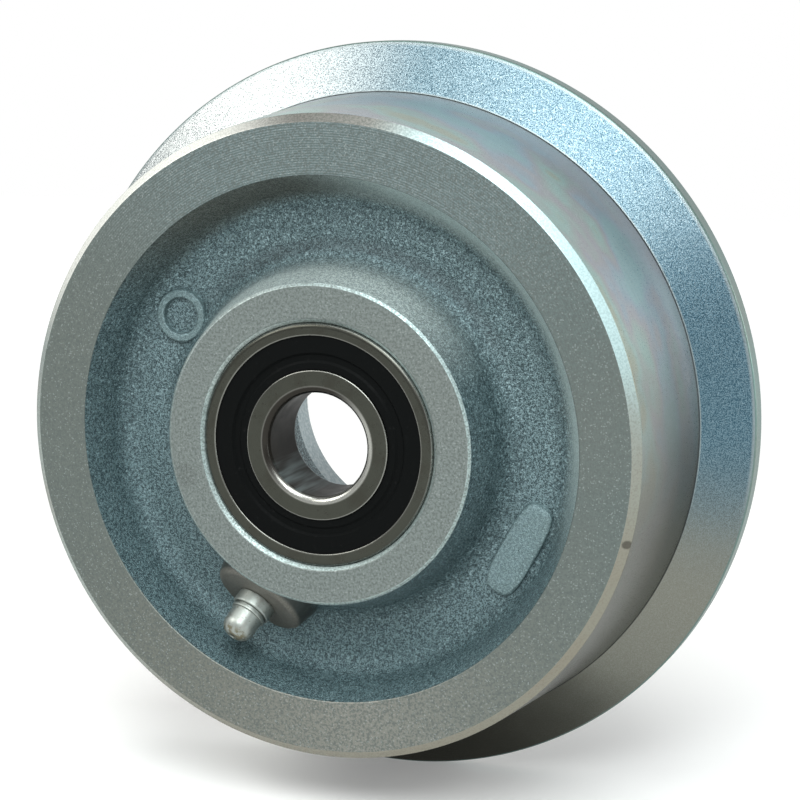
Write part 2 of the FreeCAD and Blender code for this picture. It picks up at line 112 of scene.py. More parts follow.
class WheelSizes(bpy.types.PropertyGroup):
    """Sizes of the casting's section, in the part's own frame"""

    hub_radius: length("Hub", "Radius of the hub at its faces", 31.0)
    hub_foot: length("Hub foot", "Radius of the hub where it meets the web", 34.5)
    hub_proud: length("Hub proud", "Hub face ahead of the rim face", 3.1)
    hub_round: length("Hub edge", "Rounding of the hub's outer edges", 0.5)
    seat_radius: length("Seat", "Radius of both bearing seats", 23.5)
    seat_depth: length("Seat depth", "Depth of both bearing seats", 14.2)
    seat_chamfer: length("Seat chamfer", "Chamfer at the mouth of a seat", 0.85)
    core_radius: length("Core", "Radius of the hollow between the seats", 20.0)
    rim_width: length("Rim width", "Rim face to the back of the flange", 45.0)
    rim_inner: length("Rim inside", "Radius of the rim's inner edge", 51.0)
    rim_foot: length("Rim foot", "Radius of the rim's inner wall at the web", 46.5)
    rim_chamfer: length("Rim chamfer", "Chamfer at the front of the tread", 1.57)
    tread_radius: length("Tread", "Radius of the tread at its front end", 62.5)
    tread_root: length("Tread root", "Radius of the tread at the flange", 65.0)
    tread_length: length("Tread length", "Rim face to the flange root", 33.9)
    flange_slope: length("Flange slope", "Length of the sloping face along the axis", 6.0)
    flange_round: length("Flange tip", "Rounding at the top of the sloping face", 0.6)
    flange_chamfer: length("Flange chamfer", "Chamfer at the back of the flange", 1.0)
    web_depth: length("Web depth", "Rim face to the front of the web", 10.0)
    web_thickness: length("Web thickness", "Thickness of the web", 13.0)
    web_fillet: length("Web fillet", "Casting fillet at the web", 5.0)
    fine: length("Fine edge", "Rounding of the turned edges", 0.15)
    roundel_place: length("Roundel place", "Roundel centre from the wheel axis", 40.2)
    roundel_angle: turned_by("Roundel angle", "Roundel round the wheel, from +X to +Z", 147.4)
    roundel_radius: length("Roundel", "Middle radius of the blank cast roundel", 4.4)
    roundel_band: length("Roundel band", "Width of the roundel's ring", 1.5)
    pad_place: length("Pad place", "Middle of the plain pad from the wheel axis", 41.6)
    pad_angle: turned_by("Pad angle", "Plain pad round the wheel, from +X to +Z", -28.5)
    pad_length: length("Pad length", "Length of the plain pad round the wheel", 19.0)
    pad_width: length("Pad width", "Width of the plain pad along the radius", 7.0)
    relief: length("Relief", "Height of the cast marks", 1.2)
    turns: IntProperty(name="Turns", description="Faces round the wheel", default=384)


class BearingSizes(bpy.types.PropertyGroup):
    """Sizes of the bearing's rings and seals"""

    bore: length("Bore", "Radius of the inner ring's bore", 10.0)
    inner_land: length("Inner land", "Shoulder of the inner ring", 14.45)
    outer_land: length("Outer land", "Shoulder of the outer ring", 19.3)
    seal_radius: length("Seal", "Radius of the seal's recess", 21.0)
    seal_inset: length("Seal inset", "Seal face behind the bearing face", 0.35)
    seal_thickness: length("Seal thickness", "Seal at its outer bead", 1.4)
    corner: length("Corner", "Rounding of the rings' mounting corners", 1.0)
    bore_corner: length("Bore corner", "Rounding at both ends of the bore", 1.3)
    edge: length("Edge", "Rounding of the rings' other edges", 0.25)
    turns: IntProperty(name="Turns", description="Faces round a ring", default=256)


class NippleSizes(bpy.types.PropertyGroup):
    """Sizes of the grease nipple and its boss, along the nipple's axis"""

    nose: length("Nose", "Flat of the boss to the tip of the nose", 8.8)
    collar: length("Collar", "Radius of the collar", 4.0)
    collar_height: length("Collar height", "Height of the collar", 2.6)
    neck: length("Neck", "Radius of the groove above the collar", 3.2)
    neck_height: length("Neck height", "Height of the groove", 0.4)
    bead: length("Bead", "Radius of the thin ring above the groove", 3.65)
    bead_height: length("Bead height", "Height of the thin ring", 0.6)
    head: length("Head", "Radius of the head", 3.25)
    head_round: length("Head round", "Rounding of the nose", 2.5)
    port: length("Port", "Radius of the hole in the nose", 0.55)
    bore: length("Bore", "Radius of the valve bore", 1.0)
    shank: length("Shank", "Radius of the shank", 3.0)
    shank_length: length("Shank length", "Length of the shank", 6.0)
    fine: length("Fine edge", "Rounding of the turned edges", 0.15)
    spring: length("Spring", "Radius of the valve spring, at the middle of its wire", 0.68)
    spring_wire: length("Spring wire", "Radius of the spring's wire", 0.14)
    spring_turns: amount("Spring turns", "Turns of the valve spring", 6.0)
    spring_gap: length("Spring gap", "Gap at each end of the spring", 0.05)
    valve_lip: length("Valve lip", "Tip of the nose to the valve's seat", 0.5)
    valve_seat: length("Valve seat", "Height of the valve's conical seat", 0.7)
    valve_shelf: length("Valve shelf", "Shelf under the spring", 0.8)
    valve_travel: length("Valve travel", "Way of the valve ball when the nipple opens", 0.8)
    boss: length("Boss", "Radius of the cast boss at its flat", 9.3)
    boss_round: length("Boss edge", "Rounding at the edge of the boss's flat", 1.4)
    boss_skirt: length("Boss foot", "Radius of the boss at its foot", 11.0)
    boss_depth: length("Boss depth", "Boss below its flat", 7.0)
    boss_gap: length("Boss gap", "Gap between the boss and the nipple's shank", 0.03)
    turns: IntProperty(name="Turns", description="Faces round the nipple", default=96)


class WheelColours(bpy.types.PropertyGroup):
    """Colours of the finishes, as linear light"""

    cast_light: tint("Cast light", "Zinc on the rough casting, on the grains", 0.122, 0.186, 0.199)
    cast_dark: tint("Cast dark", "Zinc on the rough casting, in the pits", 0.015, 0.033, 0.038)
    # Painted shade under the top of the rim wall, laid with random brown blotches
    cast_brown_stain_and_shade: tint("Cast brown", "Stained zinc under the rim", 0.122, 0.124, 0.102)
    turned_light: tint("Turned light", "Zinc on the turned faces", 0.155, 0.180, 0.175)
    turned_dark: tint("Turned dark", "Zinc on the turned faces, in the lines", 0.108, 0.136, 0.135)
    hub_light: tint("Hub face", "Paler zinc on the hub's faces", 0.168, 0.192, 0.183)
    chamfer: tint("Chamfer", "Bright zinc on the chamfers", 0.230, 0.274, 0.260)
    tread_straw: tint("Tread straw", "Straw tint of the passivation film", 0.273, 0.295, 0.225)
    tread_grey: tint("Tread grey", "Plain zinc of the tread", 0.265, 0.321, 0.308)
    tread_rose: tint("Tread rose", "Rose tint of the passivation film", 0.281, 0.282, 0.304)
    tread_violet: tint("Tread violet", "Violet tint of the passivation film", 0.240, 0.305, 0.358)
    tread_blue: tint("Tread blue", "Blue tint of the passivation film", 0.216, 0.339, 0.358)
    tread_green: tint("Tread green", "Green tint of the passivation film", 0.249, 0.374, 0.350)
    # Painted shade on the lower right of the tread
    tread_low_shade: tint("Tread grime", "Dull film on the used side of the tread", 0.070, 0.070, 0.058)
    slope_light: tint("Flange light", "Zinc on the sloping face, on the grains", 0.176, 0.245, 0.276)
    slope_dark: tint("Flange dark", "Zinc on the sloping face, in the pits", 0.030, 0.062, 0.082)
    edge: tint("Flange rim", "Zinc on the rim of the flange", 0.098, 0.160, 0.148)
    seat_light: tint("Seat light", "Zinc in the bearing seats, on the grains", 0.300, 0.342, 0.348)
    seat_dark: tint("Seat dark", "Zinc in the bearing seats, in the pits", 0.204, 0.252, 0.264)
    ring_steel: tint("Ring steel", "Ground bearing steel", 0.042, 0.044, 0.037)
    seal_black: tint("Seal", "Black rubber of the seals", 0.0035, 0.004, 0.004)
    nipple_steel: tint("Nipple", "Bright zinc of the grease nipple", 0.246, 0.270, 0.252)


class StageSettings(bpy.types.PropertyGroup):
    """Camera, floor and room"""

    azimuth: turned_by("Azimuth", "Camera round the wheel", 20.897)
    elevation: turned_by("Elevation", "Camera above the axis", 9.75)
    distance: length("Distance", "Camera from the rim face", 460.276)
    right: length("Right", "Camera beside the line to the rim face", 14.829)
    up: length("Up", "Camera above the line to the rim face", 8.2)
    sensor: amount("Sensor", "Width of the camera's sensor in millimetres", 36.0)
    lens: amount("Lens", "Focal length in millimetres", 108.783)
    floor_colour: tint("Floor", "Pale floor", 0.80, 0.80, 0.79)
    floor_reach: length("Floor reach", "Floor from the wheel to its edges", 1200.0)
    floor_glow: amount("Floor glow", "Lift of the far floor to white in view", 0.68)
    room_light: amount("Room light", "Light of the white room on matt faces", 0.30)


PROPERTY_GROUPS = {
    "rail_wheel": WheelSizes,
    "rail_wheel_bearing": BearingSizes,
    "rail_wheel_nipple": NippleSizes,
    "rail_wheel_colours": WheelColours,
    "rail_wheel_stage": StageSettings,
}

# Finishes of the casting, as the order of its material slots
CAST, TURNED, CHAMFER, TREAD, SLOPE, EDGE, SEAT = range(7)

# Fineness of the meshes: radians and fewest points of an arc, and the sharpest smooth edge in degrees
ARC_STEP = 0.16
ARC_POINTS = 4
SMOOTH_DEGREES = 32.0
# Cut beside each end of an edge, in metres, and the largest share of the edge that it may take
EDGE_CUT = 0.2 * MILLIMETRE
EDGE_CUT_SHARE = 0.12
# Longest run along a section
CAST_STEP = 9.0 * MILLIMETRE
ROUNDEL_STEP = 2.0 * MILLIMETRE
PAD_STEP = 0.8 * MILLIMETRE
BOSS_STEP = 0.5 * MILLIMETRE
RING_STEP = 0.5 * MILLIMETRE
NIPPLE_STEP = 0.3 * MILLIMETRE
# Points round a wire, and steps along one turn of it
WIRE_SIDES = 8
WIRE_STEPS = 32
FLOOR_CELLS = 8

# Cast marks: faces round each, shares of their relief, the pad's outline and its pinhole
ROUNDEL_TURNS = 96
PAD_TURNS = 160
MARK_SINK, MARK_SOFT, MARK_SLANT = 0.6, 0.35, 0.25
MARK_CROWN = 0.35
PAD_POWER = 3.6
PAD_PINHOLE = 0.02

# Rings round the axis where a mask starts and where it is full, as radii in millimetres; they bound films,
# painted highlights and painted shade
BORE = (10.3, 10.0)
BORE_MOUTH = (11.6, 11.1)
INNER_EDGE = (14.15, 14.32), (17.0, 16.5)
RECESS_EDGE = (18.5, 19.0), (21.35, 21.15)
OUTER_EDGE = (23.0, 23.3)
HUB_EDGE = (33.0, 32.5)
HUB_FACE = (34.5, 33.5)
HUB_SIDE = (36.0, 33.5)
HUB_FOOT = (35.2, 36.5), (39.5, 37.5)
PAST_HUB = (33.0, 40.0)
WEB = (35.0, 40.0)
WEB_MIDDLE = (36.8, 39.2), (45.2, 41.8)
RIM_FACE = (40.0, 45.0)
RIM_WALL = (45.0, 48.5)
# Painted shade in the crease at the flange root, then painted highlight bands at the root and the tip
FLANGE_ROOT_SHADE = (65.22, 65.14)
FLANGE_ROOT = (65.45, 65.30)
FLANGE_TIP = (74.0, 74.5)

# Stations along the axis where a mask starts and where it is full, in millimetres; they bound films, painted
# highlights and painted shade
FRONT = (-10.0, -14.0)
FRONT_HUB = (-12.5, -20.5)
FRONT_FACES = (0.0, -20.0)
TREAD_REAR = (0.0, 10.0)
TREAD_ENDS = (-24.0, 11.0)
AHEAD_OF_REAR_SEAT = (11.5, 10.5)

# Round spots on the front: X, Z and radius in millimetres, and the share of the radius that is full
HUB_SCUFF = (-27.5, -7.6, 3.0)
RIM_NICK = (60.0, -15.1, 1.0)
SPOT_CORE = 0.6

TOOL_FEED = 0.46 * MILLIMETRE

# Soft boxes: name, place and target in metres, width, height, watts and colour
SOFT_BOXES = (
    ("front_box", (0.22, -0.56, 0.52), (0.0, 0.0, 0.0), 0.50, 0.40, 6.0, (0.95, 0.99, 1.0)),
    ("top_box", (0.05, -0.22, 0.80), (0.0, 0.0, 0.0), 0.60, 0.35, 3.0, (0.97, 1.0, 0.99)),
    ("left_box", (-0.52, -0.46, 0.52), (0.0, 0.0, 0.0), 0.55, 0.35, 4.0, (1.0, 0.98, 0.94)),
    ("back_box", (0.85, 0.48, 0.16), (0.0, 0.03, 0.0), 0.45, 0.45, 4.0, (0.97, 1.0, 1.0)),
    ("right_box", (0.75, -0.28, -0.02), (0.0, 0.0, 0.0), 0.12, 0.40, 0.6, (0.84, 0.98, 1.0)),
)


def rounded_section(corners, step):
    """Closed section through corners (radius, station, rounding, finish), as points and finishes.

    A rounding q replaces its corner by the arc of radius q that touches both edges: the arc
    starts and ends q / tan(half the corner's angle) from the corner. Each edge is then cut near
    both of its ends, and its middle into equal runs no longer than step, so that the shading of
    a flat face isn't pulled by its roundings. A corner's finish is that of the edge after it.
    """
    points = np.array([c[:2] for c in corners], float)
    count = len(points)
    stretches = []
    for i in range(count):
        here, rounding, finish = points[i], corners[i][2], corners[i][3]
        before = points[i - 1] - here
        after = points[(i + 1) % count] - here
        before /= np.linalg.norm(before)
        after /= np.linalg.norm(after)
        if rounding <= 0.0:
            stretches.append((here[None, :], finish))
            continue
        half = math.acos(np.clip(np.dot(before, after), -1.0, 1.0)) / 2.0
        reach = rounding / math.tan(half)
        middle = here + (before + after) / np.linalg.norm(before + after) * rounding / math.sin(half)
        start = here + before * reach - middle
        stop = here + after * reach - middle
        turn = math.atan2(start[0] * stop[1] - start[1] * stop[0], np.dot(start, stop))
        angles = np.linspace(0.0, turn, max(ARC_POINTS, int(abs(turn) / ARC_STEP) + 2))
        cosine, sine = np.cos(angles)[:, None], np.sin(angles)[:, None]
        across = np.array([-start[1], start[0]])
        stretches.append((middle + cosine * start + sine * across, finish))
    rows, finishes = [], []
    for i in range(count):
        arc, finish = stretches[i]
        following = stretches[(i + 1) % count][0][0]
        rows.append(arc[:-1])
        finishes += [finish] * (len(arc) - 1)
        span = np.linalg.norm(following - arc[-1])
        support = min(EDGE_CUT_SHARE, EDGE_CUT / span)
        shares = np.linspace(support, 1.0 - support, max(2, math.ceil(span / step) + 1))
        shares = np.concatenate([[0.0], shares])[:, None]
        rows.append(arc[-1] + (following - arc[-1]) * shares)
        finishes += [finish] * len(shares)
    return np.concatenate(rows), np.array(finishes)


def turned_grid(section, turns):
    """Carry a section round the Y axis: x = r cos a, y = y, z = r sin a."""
    angle = np.linspace(0.0, 2.0 * math.pi, turns, endpoint=False)
    radius, station = section[:, :1], section[:, 1:]
    return np.stack([
        radius * np.cos(angle), np.broadcast_to(station, (len(section), turns)),
        radius * np.sin(angle),
    ], axis=-1)


def closed_quads(rows, turns):
    """Faces of a grid that closes both along its section and round its axis."""
    i, j = np.meshgrid(np.arange(rows), np.arange(turns), indexing="ij")
    i_next, j_next = (i + 1) % rows, (j + 1) % turns
    quads = np.stack([i * turns + j, i_next * turns + j, i_next * turns + j_next,
                      i * turns + j_next], axis=-1)
    return quads.reshape(-1, 4)


def new_piece(name, points, quads, finishes, materials):
    """Put arrays of points and faces into a new smooth-shaded mesh object."""
    mesh = bpy.data.meshes.new(name)
    mesh.vertices.add(len(points))
    mesh.vertices.foreach_set("co", np.ascontiguousarray(points, np.float32).ravel())
    mesh.loops.add(quads.size)
    mesh.loops.foreach_set("vertex_index", quads.astype(np.int32).ravel())
    mesh.polygons.add(len(quads))
    mesh.polygons.foreach_set("loop_start", np.arange(0, quads.size, 4, dtype=np.int32))
    mesh.polygons.foreach_set("material_index", finishes.astype(np.int32))
    mesh.polygons.foreach_set("use_smooth", np.ones(len(quads), bool))
    for material in materials:
        mesh.materials.append(material)
    mesh.update(calc_edges=True)
    mesh.validate()
    mesh.set_sharp_from_angle(angle=math.radians(SMOOTH_DEGREES))
    piece = bpy.data.objects.new(name, mesh)
    bpy.context.scene.collection.objects.link(piece)
    return piece


def lathe(name, corners, step, turns, materials, place=None, power=2.0):
    """Turn a closed section into a piece; place is a turn and an origin that set it down.

    The outline at radius 1 is the curve |x|^p + |z|^p = 1: a circle where the power p is 2,
    and a square with round corners where p is about 4.
    """
    section, finishes = rounded_section(corners, step)
    following = np.roll(section, -1, axis=0)
    area = np.sum(section[:, 0] * following[:, 1] - following[:, 0] * section[:, 1])
    if area < 0.0:
        section = section[::-1]
        finishes = np.roll(finishes[::-1], -1)
    points = turned_grid(section, turns).reshape(-1, 3)
    if power != 2.0:
        angle = np.arctan2(points[:, 2], points[:, 0])
        size = (np.abs(np.cos(angle)) ** power + np.abs(np.sin(angle)) ** power) ** (-1.0 / power)
        points = points * np.stack([size, np.ones_like(size), size], axis=1)
    if place is not None:
        turn, origin = place
        points = points @ turn.T + origin
    quads = closed_quads(len(section), turns)
    return new_piece(name, points, quads, np.repeat(finishes, turns), materials)


def coil(name, radius, wire, foot, top, turns, materials, place):
    """Round wire wound on a cylinder along Y, with flat ends; place is a turn and an origin.

    The middle of the wire is x = R cos a, y from foot to top, z = R sin a. Round it, the wire's
    surface is that point plus w cos b times the outward direction and w sin b times the direction
    that stands square to both the outward one and the wire. Three faces close an end of eight points.
    """
    angle = np.linspace(0.0, 2.0 * math.pi * turns, math.ceil(turns * WIRE_STEPS) + 1)
    rise = (top - foot) / angle[-1]
    zero = np.zeros_like(angle)
    outward = np.stack([np.cos(angle), zero, np.sin(angle)], axis=-1)
    middle = radius * outward + np.stack([zero, foot + rise * angle, zero], axis=-1)
    along = np.stack([-radius * np.sin(angle), zero + rise, radius * np.cos(angle)], axis=-1)
    along /= np.linalg.norm(along, axis=1, keepdims=True)
    square = np.cross(along, outward)
    turn = np.linspace(0.0, 2.0 * math.pi, WIRE_SIDES, endpoint=False)[:, None]
    rings = np.cos(turn) * outward[:, None] + np.sin(turn) * square[:, None]
    points = (middle[:, None] + wire * rings).reshape(-1, 3)
    quads = closed_quads(len(angle), WIRE_SIDES)[:-WIRE_SIDES]
    end = np.array([[0, 1, 2, 3], [0, 3, 4, 7], [4, 5, 6, 7]])
    last = (len(angle) - 1) * WIRE_SIDES
    quads = np.concatenate([quads[:, ::-1], end[:, ::-1], last + end])
    matrix, origin = place
    return new_piece(name, points @ matrix.T + origin, quads, np.zeros(len(quads)), materials)


def nipple_place(sizes):
    """Turn that carries +Y to the nipple's axis, and the middle of the boss's flat."""
    outward = Vector(GREASE_POINT["axis"]).normalized()
    seat = Vector(GREASE_POINT["pos_m"]) - outward * sizes.nose
    turn = Vector((0.0, 1.0, 0.0)).rotation_difference(outward).to_matrix()
    return np.array(turn), np.array(seat)


class Finish:
    """One procedural material, with short names for the nodes that it links.

    A mask is a value from 0 to 1 that says how much of a film, painted light or painted shade lies on a
    point.
    """

    def __init__(self, name):
        self.material = bpy.data.materials.new(name)
        self.material.use_nodes = True
        self.tree = self.material.node_tree
        self.shader = self.tree.nodes["Principled BSDF"]
        self.place = self.add("ShaderNodeTexCoord").outputs["Object"]

    def add(self, kind, **settings):
        node = self.tree.nodes.new(kind)
        for key, setting in settings.items():
            setattr(node, key, setting)
        return node

    def link(self, source, socket):
        """Link an output, or set a plain number or colour."""
        if isinstance(source, bpy.types.NodeSocket):
            self.tree.links.new(source, socket)
        elif isinstance(source, (int, float)):
            socket.default_value = source
        else:
            socket.default_value = (*source, 1.0)

    def set(self, **sockets):
        """Set or link the shader's sockets by name, with _ for a space."""
        for name, source in sockets.items():
            self.link(source, self.shader.inputs[name.replace("_", " ")])

    def maths(self, operation, first, second=0.0):
        node = self.add("ShaderNodeMath", operation=operation)
        self.link(first, node.inputs[0])
        self.link(second, node.inputs[1])
        return node.outputs[0]

    def times(self, *parts):
        """Product of the parts."""
        return reduce(partial(self.maths, "MULTIPLY"), parts)

    def plus(self, *parts):
        """Sum of the parts."""
        return reduce(partial(self.maths, "ADD"), parts)

    def largest(self, *parts):
        """Largest of the parts."""
        return reduce(partial(self.maths, "MAXIMUM"), parts)

    def distance(self, first, second):
        """Root of the sum of two squares."""
        return self.maths("SQRT", self.plus(self.times(first, first), self.times(second, second)))

    def between(self, source, low, high, start=0.0, stop=1.0, smooth=True):
        """Map low..high to start..stop, held at both ends."""
        node = self.add("ShaderNodeMapRange", interpolation_type="SMOOTHSTEP" if smooth else "LINEAR")
        for value, socket in zip((source, low, high, start, stop), node.inputs):
            self.link(value, socket)
        return node.outputs[0]

    def noise(self, scale, detail=3.0, roughness=0.55, place=None):
        node = self.add("ShaderNodeTexNoise")
        self.link(place or self.place, node.inputs["Vector"])
        node.inputs["Scale"].default_value = scale
        node.inputs["Detail"].default_value = detail
        node.inputs["Roughness"].default_value = roughness
        return node.outputs["Fac"]

    def cells(self, scale):
        """Random value in each cell of a fine cell pattern."""
        node = self.add("ShaderNodeTexVoronoi", feature="F1")
        self.link(self.place, node.inputs["Vector"])
        node.inputs["Scale"].default_value = scale
        split = self.add("ShaderNodeSeparateColor")
        self.link(node.outputs["Color"], split.inputs[0])
        return split.outputs[0]

    def blend(self, factor, first, second):
        node = self.add("ShaderNodeMix", data_type="RGBA")
        self.link(factor, node.inputs["Factor"])
        self.link(first, node.inputs[6])
        self.link(second, node.inputs[7])
        return node.outputs[2]

    def layers(self, colour, *films):
        """Lay films over a colour in order, each a mask and its own colour."""
        for mask, film in films:
            colour = self.blend(mask, colour, film)
        return colour

    @cached_property
    def axes(self):
        """X, Y and Z of a point in the part's frame."""
        split = self.add("ShaderNodeSeparateXYZ")
        self.link(self.place, split.inputs[0])
        return tuple(split.outputs)

    @cached_property
    def radius(self):
        """Distance of a point from the wheel axis."""
        x, _, z = self.axes
        return self.distance(x, z)

    def around(self, scales):
        """Angle round the axis, station and radius, each times a scale."""
        x, y, z = self.axes
        node = self.add("ShaderNodeCombineXYZ")
        values = (self.maths("ARCTAN2", z, x), y, self.radius)
        for value, scale, socket in zip(values, scales, node.inputs):
            self.link(self.times(value, scale), socket)
        return node.outputs[0]

    def ring(self, start, full, share=1.0):
        """Mask by the distance from the axis, in millimetres."""
        return self.between(self.radius, start * MILLIMETRE, full * MILLIMETRE, 0.0, share)

    def band(self, rise, fall, share=1.0):
        """Mask on a ring that has both an inner and an outer end."""
        return self.times(self.ring(*rise), self.ring(*fall, share))

    def station(self, start, full, share=1.0):
        """Mask by the place along the axis, in millimetres."""
        return self.between(self.axes[1], start * MILLIMETRE, full * MILLIMETRE, 0.0, share)

    def facing(self, x, z):
        """How far a point's direction from the wheel axis agrees with the direction (x, z)."""
        here_x, _, here_z = self.axes
        along = self.plus(self.times(here_x, x), self.times(here_z, z))
        return self.maths("DIVIDE", along, self.radius)

    def side(self, x, z, low, high, share=1.0):
        """Mask on the side of the wheel that faces the direction (x, z)."""
        return self.between(self.facing(x, z), low, high, 0.0, share)

    def spot(self, x, z, radius):
        """Mask on a round spot of the wheel's face, in millimetres."""
        here_x, _, here_z = self.axes
        away = self.distance(
            self.maths("SUBTRACT", here_x, x * MILLIMETRE),
            self.maths("SUBTRACT", here_z, z * MILLIMETRE),
        )
        return self.between(away, radius * MILLIMETRE, radius * MILLIMETRE * SPOT_CORE)

    def ramp(self, factor, stops):
        """Colours blended in order along a factor, from (place, colour) stops."""
        node = self.add("ShaderNodeValToRGB")
        self.link(factor, node.inputs[0])
        elements = node.color_ramp.elements
        while len(elements) < len(stops):
            elements.new(1.0)
        for element, (place, colour) in zip(elements, stops):
            element.position = place
            element.color = (*colour, 1.0)
        return node.outputs[0]

    def done(self, colour, metal, rough, height, strength, depth, **others):
        """Set the shader, with a bump whose depth is in millimetres, and give the material."""
        bump = self.add("ShaderNodeBump")
        bump.inputs["Strength"].default_value = strength
        bump.inputs["Distance"].default_value = depth * MILLIMETRE
        self.link(height, bump.inputs["Height"])
        self.set(Base_Color=colour, Metallic=metal, Roughness=rough, Normal=bump.outputs[0], **others)
        return self.material


def background_rays(tree):
    """1 on rays that show the background: camera, glossy and transmission rays."""
    seen = tree.nodes.new("ShaderNodeLightPath")
    rays = seen.outputs["Is Camera Ray"]
    for name in ("Is Glossy Ray", "Is Transmission Ray"):
        either = tree.nodes.new("ShaderNodeMath")
        either.operation = "MAXIMUM"
        tree.links.new(rays, either.inputs[0])
        tree.links.new(seen.outputs[name], either.inputs[1])
        rays = either.outputs[0]
    return rays


def cast_skin(colours, name="cast_skin", crown=0.0):
    """Rough sand-cast skin under zinc: fine grains with bright crowns, pits, random stains, and painted
    light and shade by place.

    crown is the share of brighter zinc on a raised mark.
    """
    finish = Finish(name)
    grain = finish.noise(4400.0, 1.5, 0.6)
    height = finish.plus(grain, finish.times(finish.noise(1700.0, 2.0, 0.5), 0.55))
    skin = partial(finish.blend, finish.between(height, 0.63, 0.95))
    spark = finish.between(finish.cells(3300.0), 0.84, 1.0, 0.0, 0.7)
    front = finish.station(*FRONT)
    rim_wall = finish.ring(*RIM_WALL)
    upper = finish.between(finish.axes[2], 20.0 * MILLIMETRE, 45.0 * MILLIMETRE)
    blotches = finish.between(finish.noise(55.0, 3.0, 0.6), 0.58, 0.8, 0.0, 0.3)
    # stain: painted shade on the upper part of the rim's inner wall, plus random brown blotches
    stain = finish.plus(finish.times(rim_wall, upper, front, 0.8), blotches)
    hub_top = finish.times(finish.ring(*HUB_SIDE), finish.station(*FRONT_HUB))
    # Painted highlight on the upward face of the hub's side, near its front
    dust_and_highlight = finish.times(hub_top, finish.side(-0.1, 1.0, 0.2, 0.9, 0.6))
    # Painted shade in the fillet at the foot of the hub, on its upper side
    foot = finish.times(finish.band(*HUB_FOOT), finish.side(0.1, 0.995, 0.3, 0.9, 0.7), front)
    # Painted light on the rim's inner wall on the right and upper right
    lit_wall = finish.times(rim_wall, finish.side(0.80, 0.60, 0.45, 0.9, 0.95), front)
    # Painted light on the middle of the web, on its lower half
    lit_web = finish.times(finish.band(*WEB_MIDDLE), finish.side(-0.25, -0.97, -0.75, 0.0, 0.6), front)
    # Painted shade on the lower left of the web
    shaded_low_web = finish.times(finish.ring(*WEB), finish.side(-0.45, -0.89, 0.1, 0.9, 0.5))
    colour = finish.layers(
        skin(colours.cast_dark, colours.cast_light),
        (spark, (0.26, 0.37, 0.39)),
        (stain, skin((0.036, 0.038, 0.030), colours.cast_brown_stain_and_shade)),
        (dust_and_highlight, skin((0.26, 0.31, 0.305), (0.62, 0.70, 0.67))),
        (foot, skin((0.010, 0.019, 0.023), (0.055, 0.085, 0.092))),
        (lit_wall, skin((0.25, 0.325, 0.325), (0.50, 0.61, 0.60))),
        (lit_web, skin((0.018, 0.038, 0.044), (0.215, 0.315, 0.335))),
        (shaded_low_web, skin((0.013, 0.031, 0.039), (0.090, 0.157, 0.169))),
        (crown, (0.198, 0.282, 0.288)),
    )
    rough = finish.between(grain, 0.35, 0.65, 0.52, 0.34)
    return finish.done(colour, metal=0.38, rough=rough, height=height, strength=0.9, depth=0.21)


def turned_face(colours):
    """Faced zinc: turning lines round the rim, satin grain, sparkles, painted reflections and painted shade
    by side, a scuffed hub.

    A turning line is the sine of the radius over the feed of the tool, with a slow wander.
    """
    finish = Finish("turned_face")
    rim = finish.ring(*RIM_FACE)
    wander = finish.noise(1.0, 2.0, 0.6, place=finish.around((5.0, 0.0, 700.0)))
    turns = finish.times(finish.radius, 2.0 * math.pi / TOOL_FEED)
    wave = finish.maths("SINE", finish.plus(turns, finish.times(wander, 3.0)))
    # The lines are stronger on the top of the rim, so their colour there is painted light
    clear = finish.between(finish.facing(-0.2, 0.98), 0.5, 0.95, 0.25, 1.2)
    lines = finish.times(wave, rim, finish.between(wander, 0.3, 0.6), clear)
    grain = finish.noise(3400.0, 1.5, 0.6)
    height = finish.plus(finish.times(lines, 0.24), finish.times(grain, 0.8))
    lined = partial(finish.blend, finish.between(height, 0.2, 0.6))
    # Painted reflections: cooler on the top of the rim face, warm on its bottom
    cool_reflection_top = finish.times(rim, finish.side(0.2, 0.98, 0.2, 0.9, 0.6))
    warm_reflection_low = finish.times(rim, finish.side(0.10, -0.995, 0.2, 0.95, 0.7))
    # Painted shade on the left and on the right of the rim face
    shade_left = finish.times(rim, finish.side(-0.97, -0.25, 0.1, 0.9, 0.55))
    matt = finish.times(rim, finish.side(0.98, -0.2, 0.3, 0.95, 0.6))
    sand = finish.between(finish.noise(2000.0, 2.5, 0.7), 0.44, 0.60, 0.0, 0.75)
    clouds = finish.between(finish.noise(24.0, 3.0), 0.5, 0.75, 0.0, 0.2)
    spark = finish.between(finish.cells(4300.0), 0.88, 1.0, 0.0, 0.34)
    scratches = finish.between(finish.noise(5200.0, 2.0, 0.6), 0.40, 0.66)
    scuff = finish.times(finish.spot(*HUB_SCUFF), scratches, finish.station(*FRONT_FACES), 0.5)
    colour = finish.layers(
        lined(colours.turned_dark, colours.turned_light),
        (cool_reflection_top, lined((0.074, 0.111, 0.114), (0.155, 0.196, 0.201))),
        (warm_reflection_low, (0.200, 0.194, 0.168)),
        (shade_left, (0.093, 0.103, 0.089)),
        (matt, (0.085, 0.105, 0.098)),
        (finish.ring(*HUB_FACE, 0.7), colours.hub_light),
        (sand, (0.088, 0.105, 0.100)),
        (clouds, (0.124, 0.130, 0.118)),
        (spark, (0.32, 0.36, 0.355)),
        (scuff, (0.045, 0.050, 0.047)),
    )
    rough = finish.between(grain, 0.3, 0.7, 0.40, 0.54)
    return finish.done(colour, metal=0.85, rough=rough, height=height, strength=0.4, depth=0.10)


